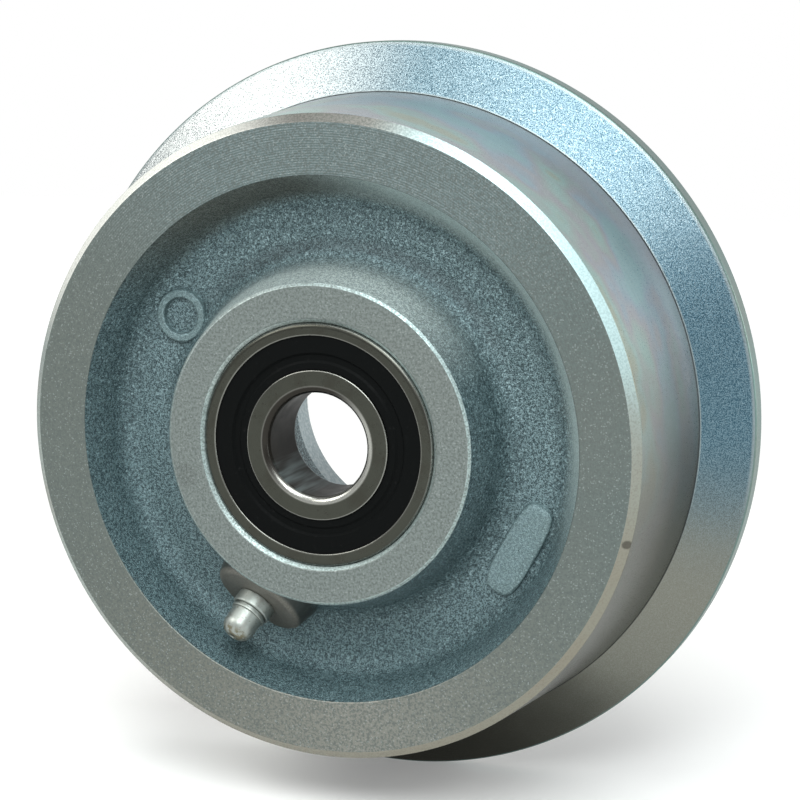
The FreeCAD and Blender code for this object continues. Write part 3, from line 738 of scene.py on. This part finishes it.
def chamfer_face(colours):
    """Cut chamfer with a satin grain, painted shade and painted reflections by side, and one dark nick at
    the front of the tread.
    """
    finish = Finish("chamfer_face")
    grain = finish.noise(2600.0, 2.0, 0.6)
    satin = partial(finish.blend, finish.between(grain, 0.4, 0.6))
    hub_satin = finish.blend(finish.between(grain, 0.42, 0.6), (0.30, 0.375, 0.37), (0.17, 0.21, 0.205))
    clouds = finish.between(finish.noise(90.0, 2.0), 0.35, 0.7, 0.0, 0.5)
    pits = finish.between(grain, 0.45, 0.68, 0.0, 0.4)
    # Painted shade on the top of the chamfers, painted reflections on their right (cyan) and left (cream)
    top = finish.side(0.12, 0.99, 0.55, 0.95, 0.8)
    right = finish.side(0.72, 0.69, 0.78, 0.98, 0.9)
    left = finish.side(-0.66, 0.75, 0.80, 0.98, 0.85)
    # Painted warm reflection on the lower right of the chamfers, outside the hub
    low = finish.times(finish.ring(*PAST_HUB), finish.side(0.45, -0.89, 0.1, 0.8, 0.75))
    nick = finish.times(finish.spot(*RIM_NICK), 0.7)
    colour = finish.layers(
        colours.chamfer,
        (clouds, (0.220, 0.215, 0.190)),
        (pits, (0.120, 0.115, 0.100)),
        (top, satin((0.135, 0.125, 0.113), (0.085, 0.083, 0.075))),
        (right, satin((0.46, 0.62, 0.63), (0.36, 0.50, 0.51))),
        (left, satin((0.78, 0.79, 0.74), (0.60, 0.61, 0.57))),
        (finish.ring(*HUB_EDGE, 0.85), hub_satin),
        (low, (0.200, 0.180, 0.135)),
        (nick, (0.030, 0.025, 0.020)),
    )
    rough = finish.between(grain, 0.3, 0.7, 0.38, 0.54)
    return finish.done(colour, metal=0.8, rough=rough, height=grain, strength=0.35, depth=0.10)


def tread_face(colours):
    """Turned tread with the rainbow film of clear passivation, painted shade on its lower right, and a
    painted highlight at its rear on the other sides.
    """
    finish = Finish("tread_face")
    bands = finish.noise(1.0, 2.0, 0.5, place=finish.around((2.6, 80.0, 0.0)))
    blotches = finish.between(finish.noise(130.0, 2.0, 0.5), 0.25, 0.75, -0.05, 0.05, smooth=False)
    front, rear = (end * MILLIMETRE for end in TREAD_ENDS)
    across = finish.between(finish.axes[1], front, rear, -0.09, 0.13, smooth=False)
    film = finish.ramp(finish.plus(bands, blotches, across), (
        (0.33, colours.tread_straw), (0.41, colours.tread_green), (0.47, colours.tread_grey),
        (0.52, colours.tread_rose), (0.58, colours.tread_violet), (0.66, colours.tread_blue)))
    grain = finish.noise(4200.0, 2.0, 0.6)
    lines = finish.noise(1.0, 2.0, 0.6, place=finish.around((9.0, 1500.0, 0.0)))
    # Painted shade on the lower right of the tread, with a wandering edge
    low_right_shade = finish.plus(finish.facing(0.60, -0.80), finish.times(finish.noise(28.0, 3.0), 0.35))
    root = finish.station(*TREAD_REAR, 0.75)
    # Painted highlight at the rear of the tread, away from the painted shade
    root_highlight = finish.times(root, finish.between(low_right_shade, 0.9, 0.25))
    root_pits = finish.times(root, finish.between(grain, 0.45, 0.7, 0.0, 0.35))
    colour = finish.layers(
        film,
        (finish.between(grain, 0.4, 0.7, 0.0, 0.3), (0.43, 0.48, 0.47)),
        (finish.between(lines, 0.42, 0.66, 0.0, 0.14), (0.119, 0.138, 0.136)),
        (finish.between(low_right_shade, 0.25, 1.0, 0.0, 0.95), colours.tread_low_shade),
        (root_highlight, finish.blend(bands, (0.50, 0.49, 0.54), (0.41, 0.50, 0.52))),
        (root_pits, (0.23, 0.22, 0.18)),
    )
    rough = finish.between(grain, 0.3, 0.7, 0.26, 0.40)
    height = finish.plus(grain, finish.times(lines, 0.5))
    return finish.done(colour, metal=0.78, rough=rough, height=height, strength=0.3, depth=0.08)


def slope_face(colours):
    """Grainy zinc on the flange's sloping face: bright crystals, painted reflections by side, painted shade
    low down, painted highlights at the root and tip.
    """
    finish = Finish("slope_face")
    grain = finish.noise(4600.0, 1.5, 0.6)
    grainy = partial(finish.blend, finish.between(grain, 0.36, 0.66))
    # Painted reflection on the upper left of the sloping face
    upper_left_reflection = finish.blend(finish.between(grain, 0.34, 0.58), (0.12, 0.135, 0.14), (0.56, 0.59, 0.58))
    spark = finish.between(finish.cells(5200.0), 0.84, 1.0, 0.0, 0.5)
    # Mask of the painted reflection on the upper left
    pale = finish.side(-0.70, 0.71, 0.62, 0.97, 0.9)
    # Painted dark blue reflection on the right of the sloping face
    slate = finish.side(0.995, 0.05, 0.80, 0.98, 0.6)
    # Painted shade low on the sloping face: brown on the lower side, near black at the bottom
    low_shade = finish.plus(finish.facing(0.17, -0.985), finish.times(finish.noise(28.0, 3.0), 0.2))
    # Painted highlight bands at the root and the tip of the sloping face, not at the bottom
    smooth = finish.largest(finish.ring(*FLANGE_TIP), finish.ring(*FLANGE_ROOT))
    colour = finish.layers(
        grainy(colours.slope_dark, colours.slope_light),
        (spark, (0.34, 0.42, 0.45)),
        (pale, upper_left_reflection),
        (slate, grainy((0.022, 0.062, 0.092), (0.080, 0.150, 0.190))),
        (finish.between(low_shade, 0.25, 0.75, 0.0, 0.8), (0.176, 0.168, 0.134)),
        (finish.between(low_shade, 0.85, 1.1, 0.0, 0.85), (0.025, 0.025, 0.019)),
        (finish.times(smooth, finish.between(low_shade, 0.6, 0.3, 0.0, 0.7)), (0.218, 0.252, 0.256)),
        # Painted shade line in the crease at the flange root
        (finish.ring(*FLANGE_ROOT_SHADE, 0.85), (0.013, 0.015, 0.015)),
    )
    rough = finish.between(grain, 0.3, 0.7, 0.28, 0.42)
    return finish.done(colour, metal=0.95, rough=rough, height=grain, strength=0.6, depth=0.10)


def edge_face(colours):
    """Turned rim of the flange."""
    finish = Finish("edge_face")
    grain = finish.noise(2000.0, 2.0)
    clouds = finish.between(finish.noise(50.0, 2.0), 0.35, 0.7, 0.0, 0.5)
    colour = finish.layers(
        colours.edge,
        (clouds, (0.127, 0.152, 0.130)),
        (finish.between(grain, 0.4, 0.7, 0.0, 0.25), (0.205, 0.252, 0.240)),
    )
    rough = finish.between(grain, 0.3, 0.7, 0.34, 0.48)
    return finish.done(colour, metal=0.85, rough=rough, height=grain, strength=0.25, depth=0.10)


def seat_face(colours):
    """Bored bearing seats, pitted but for the rear one."""
    finish = Finish("seat_face")
    grain = finish.noise(1700.0, 2.0)
    pits = finish.between(finish.noise(620.0, 3.0), 0.55, 0.66)
    colour = finish.layers(
        finish.blend(finish.between(grain, 0.35, 0.7), colours.seat_dark, colours.seat_light),
        (finish.times(pits, finish.station(*AHEAD_OF_REAR_SEAT, 0.8)), (0.018, 0.018, 0.017)),
    )
    return finish.done(colour, metal=0.7, rough=0.48, height=grain, strength=0.3, depth=0.20)


def nipple_height(finish, sizes):
    """Height of a point above the boss's flat, along the nipple's axis, in millimetres."""
    turn, seat = nipple_place(sizes)
    outward = turn[:, 1] / MILLIMETRE
    parts = [finish.times(part, float(share)) for part, share in zip(finish.axes, outward)]
    return finish.plus(*parts, -float(np.dot(seat, outward)))


def boss_skin(colours, sizes):
    """Dull brown-grey skin of the boss, smooth near its flat, darker on its sides as painted shade, and
    grainy like the casting at its foot.
    """
    finish = Finish("boss_skin")
    height = nipple_height(finish, sizes)
    grain = finish.noise(3200.0, 2.0, 0.6)
    clouds = finish.between(finish.noise(260.0, 3.0), 0.35, 0.7)
    milled = finish.blend(finish.between(grain, 0.35, 0.65), (0.088, 0.085, 0.073), (0.128, 0.128, 0.113))
    cast = finish.blend(finish.between(grain, 0.38, 0.64), colours.cast_dark, colours.cast_light)
    colour = finish.layers(
        # The boss's sides are darker than its flat and its foot: painted shade
        finish.blend(clouds, (0.034, 0.040, 0.037), (0.050, 0.061, 0.059)),
        (finish.between(height, -1.2, -0.3), milled),
        (finish.between(height, -3.5, -6.5, 0.0, 0.9), cast),
    )
    grains = finish.times(grain, finish.between(height, -0.2, -6.0, 0.3, 1.0))
    return finish.done(colour, metal=0.5, rough=0.5, height=grains, strength=0.7, depth=0.20)


def ground_steel(colours):
    """Ground bearing steel: fine rings, slight handling stains, painted highlights on the edges, painted
    shade at the bore's mouth, and an oiled bore darkened as painted shade, with a painted sheen low down.
    """
    finish = Finish("ground_steel")
    lines = finish.noise(1.0, 2.0, 0.6, place=finish.around((6.0, 1800.0, 5200.0)))
    stain = finish.noise(260.0, 3.0, 0.6)
    specks = finish.between(finish.noise(1500.0, 2.0, 0.6), 0.66, 0.72, 0.0, 0.5)
    mouth = finish.ring(*BORE_MOUTH)
    # Painted highlights on the edges of the rings and on the mouth of the bore
    edges = finish.largest(
        finish.band(*INNER_EDGE, 0.6), finish.band(*RECESS_EDGE, 0.4), finish.ring(*OUTER_EDGE, 0.7), mouth)
    # Painted shade on the upper left of the bore's mouth
    greased_and_shaded = finish.times(mouth, finish.side(-0.7, 0.7, -0.5, 0.5, 0.95))
    # Oil film on the bore, made dark as painted shade of the bore
    oiled_and_shaded = finish.ring(*BORE)
    oil_and_shade = finish.blend(finish.between(stain, 0.3, 0.7), (0.010, 0.0085, 0.006), (0.016, 0.016, 0.014))
    streaks = finish.between(finish.noise(1.0, 2.0, 0.5, place=finish.around((7.0, 60.0, 0.0))), 0.30, 0.70)
    sheen = finish.times(oiled_and_shaded, finish.side(-0.62, -0.78, 0.80, 0.99, 0.6), streaks)
    colour = finish.layers(
        colours.ring_steel,
        (finish.between(stain, 0.48, 0.75, 0.0, 0.4), (0.034, 0.032, 0.026)),
        (specks, (0.02, 0.017, 0.014)),
        (finish.times(edges, 0.8), (0.34, 0.345, 0.32)),
        (greased_and_shaded, (0.012, 0.010, 0.008)),
        (oiled_and_shaded, oil_and_shade),
        (sheen, (0.150, 0.185, 0.185)),
    )
    metal = finish.between(oiled_and_shaded, 0.0, 1.0, 1.0, 0.05)
    rough = finish.plus(finish.between(stain, 0.3, 0.7, 0.20, 0.30), finish.times(oiled_and_shaded, 0.15))
    return finish.done(colour, metal, rough, height=lines, strength=0.16, depth=0.04,
                       Specular_IOR_Level=finish.between(oiled_and_shaded, 0.0, 1.0, 0.5, 0.05))


def seal_rubber(colours):
    """Satin black moulded rubber with a faint dusting."""
    finish = Finish("seal_rubber")
    grain = finish.noise(1500.0, 3.0)
    dust_and_highlight = finish.between(finish.noise(900.0, 4.0, 0.7), 0.6, 0.78, 0.0, 0.2)
    colour = finish.blend(dust_and_highlight, colours.seal_black, (0.04, 0.04, 0.04))
    rough = finish.between(grain, 0.3, 0.7, 0.36, 0.5)
    return finish.done(colour, metal=0.0, rough=rough, height=grain, strength=0.15, depth=0.08,
                       Specular_IOR_Level=0.02)


def bright_zinc(colours, sizes):
    """Satin zinc on the turned nipple, with a few brown specks and a brown stain at its tip."""
    finish = Finish("bright_zinc")
    grain = finish.noise(3600.0, 2.0)
    film = finish.between(finish.noise(900.0, 3.0), 0.5, 0.75, 0.0, 0.35)
    specks = finish.between(finish.noise(2300.0, 2.0, 0.6), 0.62, 0.7, 0.0, 0.6)
    nose = sizes.nose / MILLIMETRE
    tip = finish.between(nipple_height(finish, sizes), nose - 1.5, nose - 0.5)
    stain = finish.times(tip, finish.between(finish.noise(1100.0, 2.0, 0.6), 0.40, 0.58, 0.0, 0.8))
    colour = finish.layers(
        colours.nipple_steel,
        (film, (0.235, 0.230, 0.200)),
        (specks, (0.079, 0.064, 0.032)),
        (stain, (0.105, 0.088, 0.042)),
    )
    rough = finish.between(grain, 0.3, 0.7, 0.36, 0.48)
    return finish.done(colour, metal=0.9, rough=rough, height=grain, strength=0.12, depth=0.10)


def inner_steel(name, light, dark, rough):
    """Plain steel of the pieces inside the bearing and the nipple."""
    finish = Finish(name)
    stain = finish.noise(700.0, 3.0)
    colour = finish.blend(finish.between(stain, 0.35, 0.7), dark, light)
    worn = finish.between(stain, 0.3, 0.7, rough, rough + 0.12)
    return finish.done(colour, metal=1.0, rough=worn, height=stain, strength=0.08, depth=0.05)


def finish_nodes(names, material):
    """Give CAD nodes that stay in view a better material."""
    for name in names:
        node = frame["nodes"][name]
        node.data.materials.clear()
        node.data.materials.append(material)


class RAILWHEEL_OT_casting(bpy.types.Operator):
    """Make the cast wheel with its turned faces"""

    bl_idname = "rail_wheel.casting"
    bl_label = "Wheel casting"

    def section(self, sizes):
        """Corners of the casting's half section: radius, station, rounding and finish."""
        front, back = CAST_LOW.y, CAST_HIGH.y
        rim_front = front + sizes.hub_proud
        rim_back = rim_front + sizes.rim_width
        web_front = rim_front + sizes.web_depth
        web_back = web_front + sizes.web_thickness
        root = rim_front + sizes.tread_length
        flange = min(CAST_HIGH.x, -CAST_LOW.x, CAST_HIGH.z, -CAST_LOW.z)
        mouth = sizes.seat_radius + sizes.seat_chamfer
        fine, fillet = sizes.fine, sizes.web_fillet
        return [
            (mouth, front, 3.0 * fine, TURNED),
            (sizes.hub_radius - sizes.hub_round, front, fine, CHAMFER),
            (sizes.hub_radius, front + sizes.hub_round, fine, CAST),
            (sizes.hub_foot, web_front, fillet, CAST),
            (sizes.rim_foot, web_front, fillet, CAST),
            (sizes.rim_inner, rim_front, 2.0 * fine, TURNED),
            (sizes.tread_radius - sizes.rim_chamfer, rim_front, fine, CHAMFER),
            (sizes.tread_radius, rim_front + sizes.rim_chamfer, fine, TREAD),
            (sizes.tread_root, root, 2.5 * fine, SLOPE),
            (flange, root + sizes.flange_slope, sizes.flange_round, EDGE),
            (flange, rim_back - sizes.flange_chamfer, fine, CHAMFER),
            (flange - sizes.flange_chamfer, rim_back, fine, TURNED),
            (sizes.rim_inner, rim_back, 2.0 * fine, CAST),
            (sizes.rim_foot, web_back, fillet, CAST),
            (sizes.hub_foot, web_back, fillet, CAST),
            (sizes.hub_radius, back, sizes.hub_round, TURNED),
            (mouth, back, fine, CHAMFER),
            (sizes.seat_radius, back - sizes.seat_chamfer, fine, SEAT),
            (sizes.seat_radius, back - sizes.seat_depth, fine, SEAT),
            (sizes.core_radius, back - sizes.seat_depth, fine, CAST),
            (sizes.core_radius, front + sizes.seat_depth, fine, SEAT),
            (sizes.seat_radius, front + sizes.seat_depth, fine, SEAT),
            (sizes.seat_radius, front + sizes.seat_chamfer, 2.0 * fine, CHAMFER),
        ]

    def execute(self, context):
        sizes, colours = context.scene.rail_wheel, context.scene.rail_wheel_colours
        materials = [build(colours) for build in (
            cast_skin, turned_face, chamfer_face, tread_face, slope_face, edge_face, seat_face)]
        piece = lathe("cast_wheel", self.section(sizes), CAST_STEP, sizes.turns, materials)
        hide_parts("wheel_casting")
        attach(piece, "wheel")
        return {"FINISHED"}


class RAILWHEEL_OT_marks(bpy.types.Operator):
    """Make the blank roundel and the plain pad that stand on the front of the web"""

    bl_idname = "rail_wheel.marks"
    bl_label = "Cast marks"

    def roundel(self, sizes, web_front, skin):
        """Plain ring: a low section with slanted sides turned about a line along Y."""
        foot, top, soft, slant = self.relief(sizes)
        inner = sizes.roundel_radius - sizes.roundel_band / 2
        outer = sizes.roundel_radius + sizes.roundel_band / 2
        angle = sizes.roundel_angle
        outward = np.array([math.cos(angle), 0.0, math.sin(angle)])
        corners = [
            (inner - slant, foot, 0.0, 0),
            (inner, top, soft, 0),
            (outer, top, soft, 0),
            (outer + slant, foot, 0.0, 0),
        ]
        place = (np.eye(3), outward * sizes.roundel_place + web_front)
        return lathe("cast_roundel", corners, ROUNDEL_STEP, ROUNDEL_TURNS, skin, place)

    def pad(self, sizes, web_front, skin):
        """Plain pad: a low disc whose outline is a power curve, drawn out along the wheel's round."""
        foot, top, soft, slant = self.relief(sizes)
        half = sizes.pad_width / 2
        angle = sizes.pad_angle
        along = np.array([math.cos(angle), 0.0, math.sin(angle)])
        across = np.array([-math.sin(angle), 0.0, math.cos(angle)]) * sizes.pad_length / sizes.pad_width
        turn = np.stack([along, np.array([0.0, 1.0, 0.0]), across], axis=1)
        corners = [
            (half * PAD_PINHOLE, foot, 0.0, 0),
            (half * PAD_PINHOLE, top, 0.0, 0),
            (half, top, soft, 0),
            (half + slant, foot, 0.0, 0),
        ]
        place = (turn, along * sizes.pad_place + web_front)
        return lathe("cast_pad", corners, PAD_STEP, PAD_TURNS, skin, place, PAD_POWER)

    def relief(self, sizes):
        """Foot, top, rounding and slant of a mark, from its relief."""
        return np.array([MARK_SINK, -1.0, MARK_SOFT, MARK_SLANT]) * sizes.relief

    def execute(self, context):
        sizes = context.scene.rail_wheel
        skin = [cast_skin(context.scene.rail_wheel_colours, "cast_mark", MARK_CROWN)]
        web_front = np.array([0.0, CAST_LOW.y + sizes.hub_proud + sizes.web_depth, 0.0])
        for piece in (self.roundel(sizes, web_front, skin), self.pad(sizes, web_front, skin)):
            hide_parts("wheel_casting")
            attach(piece, "wheel")
        return {"FINISHED"}


class RAILWHEEL_OT_boss(bpy.types.Operator):
    """Make the cast boss with its machined flat under the grease nipple"""

    bl_idname = "rail_wheel.boss"
    bl_label = "Nipple boss"

    def execute(self, context):
        sizes, colours = context.scene.rail_wheel_nipple, context.scene.rail_wheel_colours
        hole = sizes.shank + sizes.boss_gap
        corners = [
            (hole, 0.0, 0.0, 0),
            (sizes.boss, 0.0, sizes.boss_round, 0),
            (sizes.boss_skirt, -sizes.boss_depth, 0.0, 0),
            (hole, -sizes.boss_depth, 0.0, 0),
        ]
        skin = [boss_skin(colours, sizes)]
        piece = lathe("nipple_boss", corners, BOSS_STEP, sizes.turns, skin, nipple_place(sizes))
        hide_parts("wheel_casting")
        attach(piece, "wheel")
        return {"FINISHED"}


class RAILWHEEL_OT_rings(bpy.types.Operator):
    """Make the ground inner and outer ring of the bearing"""

    bl_idname = "rail_wheel.rings"
    bl_label = "Bearing rings"

    def execute(self, context):
        sizes, colours = context.scene.rail_wheel_bearing, context.scene.rail_wheel_colours
        steel = ground_steel(colours)
        front, back = RING_LOW.y, RING_HIGH.y
        outside = RING_HIGH.x
        shoulder = sizes.seal_inset + sizes.seal_thickness
        edge = sizes.edge
        outer = lathe("outer_ring", [
            (sizes.seal_radius, front, edge, 0),
            (outside, front, sizes.corner, 0),
            (outside, back, sizes.corner, 0),
            (sizes.seal_radius, back, edge, 0),
            (sizes.seal_radius, back - shoulder, 0.0, 0),
            (sizes.outer_land, back - shoulder, 0.0, 0),
            (sizes.outer_land, front + shoulder, 0.0, 0),
            (sizes.seal_radius, front + shoulder, 0.0, 0),
        ], RING_STEP, sizes.turns, [steel])
        inner = lathe("inner_ring", [
            (sizes.bore, front, sizes.bore_corner, 0),
            (sizes.inner_land, front, edge, 0),
            (sizes.inner_land, back, edge, 0),
            (sizes.bore, back, sizes.bore_corner, 0),
        ], RING_STEP, sizes.turns, [steel])
        for piece, node, body in ((outer, "bearing_outer_ring", "wheel"),
                                  (inner, "bearing_inner_ring", "axle_side")):
            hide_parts(node)
            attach(piece, body)
        return {"FINISHED"}


class RAILWHEEL_OT_seals(bpy.types.Operator):
    """Finish the two rubber seals"""

    bl_idname = "rail_wheel.seals"
    bl_label = "Seals"

    def execute(self, context):
        material = seal_rubber(context.scene.rail_wheel_colours)
        finish_nodes(("front_seal", "rear_seal"), material)
        return {"FINISHED"}


class RAILWHEEL_OT_inside(bpy.types.Operator):
    """Finish the balls, cage and rivets inside the bearing, and the nipple's valve ball"""

    bl_idname = "rail_wheel.inside"
    bl_label = "Inner pieces"

    def execute(self, context):
        balls = [name for name in frame["nodes"] if name.startswith("bearing_ball")]
        polished = inner_steel("polished_ball", (0.72, 0.72, 0.71), (0.6, 0.6, 0.59), 0.08)
        pressed = inner_steel("pressed_sheet", (0.52, 0.5, 0.47), (0.36, 0.34, 0.31), 0.3)
        greased_and_shaded = inner_steel("greased_ball", (0.07, 0.06, 0.045), (0.035, 0.03, 0.025), 0.35)
        finish_nodes(balls, polished)
        finish_nodes(("grease_nipple_ball",), greased_and_shaded)
        finish_nodes(("cage_front_half", "cage_rear_half", "cage_rivets"), pressed)
        return {"FINISHED"}


class RAILWHEEL_OT_nipple(bpy.types.Operator):
    """Make the turned grease nipple"""

    bl_idname = "rail_wheel.nipple"
    bl_label = "Grease nipple"

    def execute(self, context):
        sizes = context.scene.rail_wheel_nipple
        bright = bright_zinc(context.scene.rail_wheel_colours, sizes)
        bead_base = sizes.collar_height + sizes.neck_height
        bead_top = bead_base + sizes.bead_height
        fine = sizes.fine
        seat_top = sizes.nose - sizes.valve_lip
        shelf = sizes.valve_shelf - sizes.shank_length
        piece = lathe("grease_nipple", [
            (sizes.port, -sizes.shank_length, 0.0, 0),
            (sizes.shank, -sizes.shank_length, fine, 0),
            (sizes.shank, 0.0, 0.0, 0),
            (sizes.collar, 0.0, fine, 0),
            (sizes.collar, sizes.collar_height, 2.0 * fine, 0),
            (sizes.neck, sizes.collar_height, 0.0, 0),
            (sizes.neck, bead_base, 0.0, 0),
            (sizes.bead, bead_base, fine, 0),
            (sizes.bead, bead_top, fine, 0),
            (sizes.head, bead_top, 0.0, 0),
            (sizes.head, sizes.nose, sizes.head_round, 0),
            (sizes.port, sizes.nose, fine, 0),
            (sizes.port, seat_top, 0.0, 0),
            (sizes.bore, seat_top - sizes.valve_seat, 0.0, 0),
            (sizes.bore, shelf, 0.0, 0),
            (sizes.port, shelf, 0.0, 0),
        ], NIPPLE_STEP, sizes.turns, [bright], place=nipple_place(sizes))
        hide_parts("grease_nipple_body")
        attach(piece, "wheel")
        return {"FINISHED"}


class RAILWHEEL_OT_spring(bpy.types.Operator):
    """Wind the valve spring of the grease nipple, from the shelf under it up to the valve ball"""

    bl_idname = "rail_wheel.spring"
    bl_label = "Valve spring"

    def execute(self, context):
        sizes = context.scene.rail_wheel_nipple
        turn, seat = nipple_place(sizes)
        outward = turn[:, 1]
        ball_low, ball_high = (np.array(corner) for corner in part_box("grease_nipple_ball"))
        ball_middle = float(np.dot((ball_low + ball_high) / 2.0 - seat, outward))
        ball_radius = float(np.min(ball_high - ball_low)) / 2.0
        margin = sizes.spring_wire + sizes.spring_gap
        shelf = sizes.valve_shelf - sizes.shank_length
        foot, top = shelf + margin, ball_middle - ball_radius - margin
        drawn = inner_steel("drawn_wire", (0.5, 0.5, 0.5), (0.3, 0.3, 0.3), 0.25)
        piece = coil("valve_spring", sizes.spring, sizes.spring_wire, foot, top, sizes.spring_turns,
                     [drawn], (turn, seat))
        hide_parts("grease_nipple_spring")
        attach(piece, "wheel")
        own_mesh(piece)
        return {"FINISHED"}


class RAILWHEEL_OT_stage(bpy.types.Operator):
    """Set the floor, the soft studio light and the camera"""

    bl_idname = "rail_wheel.stage"
    bl_label = "Stage"

    def floor(self, settings):
        """Plain pale sheet under the wheel: a flat grid at the part's lowest point."""
        row = FLOOR_CELLS + 1
        lines = np.linspace(-settings.floor_reach, settings.floor_reach, row)
        across, along = np.meshgrid(lines, lines, indexing="ij")
        points = np.stack([across, along, np.full_like(across, CAD_LOW.z)], axis=-1).reshape(-1, 3)
        i, j = np.meshgrid(np.arange(FLOOR_CELLS), np.arange(FLOOR_CELLS), indexing="ij")
        corner = i * row + j
        quads = np.stack([corner, corner + row, corner + row + 1, corner + 1], axis=-1).reshape(-1, 4)
        finish = Finish("floor_paper")
        paper = finish.between(finish.noise(900.0, 2.0), 0.3, 0.7)
        shade = finish.blend(paper, settings.floor_colour, (0.83, 0.83, 0.82))
        x, y, _ = finish.axes
        far = finish.between(finish.distance(x, y), 0.25, 1.0, 0.3, 1.0)
        glow = finish.times(background_rays(finish.tree), far, settings.floor_glow)
        finish.set(Base_Color=shade, Roughness=0.9, Specular_IOR_Level=0.1,
                   Emission_Color=(1.0, 1.0, 1.0), Emission_Strength=glow)
        sheet = new_piece("floor", points, quads, np.zeros(len(quads)), [finish.material])

    def world(self, context, settings):
        """White room: full white in view and in reflections, and a gentle fill on matt faces."""
        world = bpy.data.worlds.new("studio")
        context.scene.world = world
        world.use_nodes = True
        tree = world.node_tree
        level = tree.nodes.new("ShaderNodeMapRange")
        level.inputs["To Min"].default_value = settings.room_light
        tree.links.new(background_rays(tree), level.inputs["Value"])
        background = tree.nodes["Background"]
        background.inputs["Color"].default_value = (1.0, 1.0, 1.0, 1.0)
        tree.links.new(level.outputs[0], background.inputs["Strength"])

    def lamp(self, name, place, target, width, height, watts, colour):
        """Add one soft box that faces a point on the wheel."""
        data = bpy.data.lights.new(name, "AREA")
        data.shape = "RECTANGLE"
        data.size, data.size_y = width, height
        data.energy = watts
        data.color = colour
        lamp = bpy.data.objects.new(name, data)
        lamp.location = place
        lamp.rotation_euler = (Vector(target) - Vector(place)).to_track_quat("-Z", "Y").to_euler()
        bpy.context.scene.collection.objects.link(lamp)

    def camera(self, context, settings):
        """Camera at the fitted place: out along the view line, then right and up."""
        azimuth, elevation = settings.azimuth, settings.elevation
        back = Vector((math.sin(azimuth) * math.cos(elevation),
                       -math.cos(azimuth) * math.cos(elevation), math.sin(elevation)))
        right = Vector((math.cos(azimuth), math.sin(azimuth), 0.0))
        up = back.cross(right)
        rim_face = Vector((0.0, CAST_LOW.y + context.scene.rail_wheel.hub_proud, 0.0))
        place = rim_face + back * settings.distance + right * settings.right + up * settings.up
        data = bpy.data.cameras.new("photo_camera")
        data.sensor_fit = "HORIZONTAL"
        data.sensor_width = settings.sensor
        data.lens = settings.lens
        data.clip_start = 10.0 * MILLIMETRE
        camera = bpy.data.objects.new("photo_camera", data)
        camera.matrix_world = Matrix.Translation(place) @ Matrix((right, up, back)).transposed().to_4x4()
        context.scene.collection.objects.link(camera)
        context.scene.camera = camera

    def execute(self, context):
        settings = context.scene.rail_wheel_stage
        self.floor(settings)
        self.world(context, settings)
        for box in SOFT_BOXES:
            self.lamp(*box)
        self.camera(context, settings)
        context.scene.view_settings.view_transform = "Standard"
        return {"FINISHED"}


class RAILWHEEL_PT_panel(bpy.types.Panel):
    """Lists the wheel's pieces and its stage"""

    bl_idname = "RAILWHEEL_PT_panel"
    bl_label = "Rail Wheel"
    bl_space_type = "VIEW_3D"
    bl_region_type = "UI"
    bl_category = "Rail Wheel"

    def draw(self, context):
        for operator in OPERATORS:
            self.layout.operator(operator.bl_idname)
        for group in PROPERTY_GROUPS:
            box = self.layout.box()
            settings = getattr(context.scene, group)
            for name in settings.__annotations__:
                box.prop(settings, name)


OPERATORS = (
    RAILWHEEL_OT_casting,
    RAILWHEEL_OT_marks,
    RAILWHEEL_OT_boss,
    RAILWHEEL_OT_rings,
    RAILWHEEL_OT_seals,
    RAILWHEEL_OT_inside,
    RAILWHEEL_OT_nipple,
    RAILWHEEL_OT_spring,
    RAILWHEEL_OT_stage,
)
CLASSES = (*PROPERTY_GROUPS.values(), *OPERATORS, RAILWHEEL_PT_panel)


def register():
    for item in CLASSES:
        bpy.utils.register_class(item)
    for name, group in PROPERTY_GROUPS.items():
        setattr(bpy.types.Scene, name, PointerProperty(type=group))


def unregister():
    for name in PROPERTY_GROUPS:
        delattr(bpy.types.Scene, name)
    for item in reversed(CLASSES):
        bpy.utils.unregister_class(item)


def main():
    register()
    for operator in OPERATORS:
        group, name = operator.bl_idname.split(".")
        getattr(getattr(bpy.ops, group), name)()


if __name__ == "__main__":
    main()
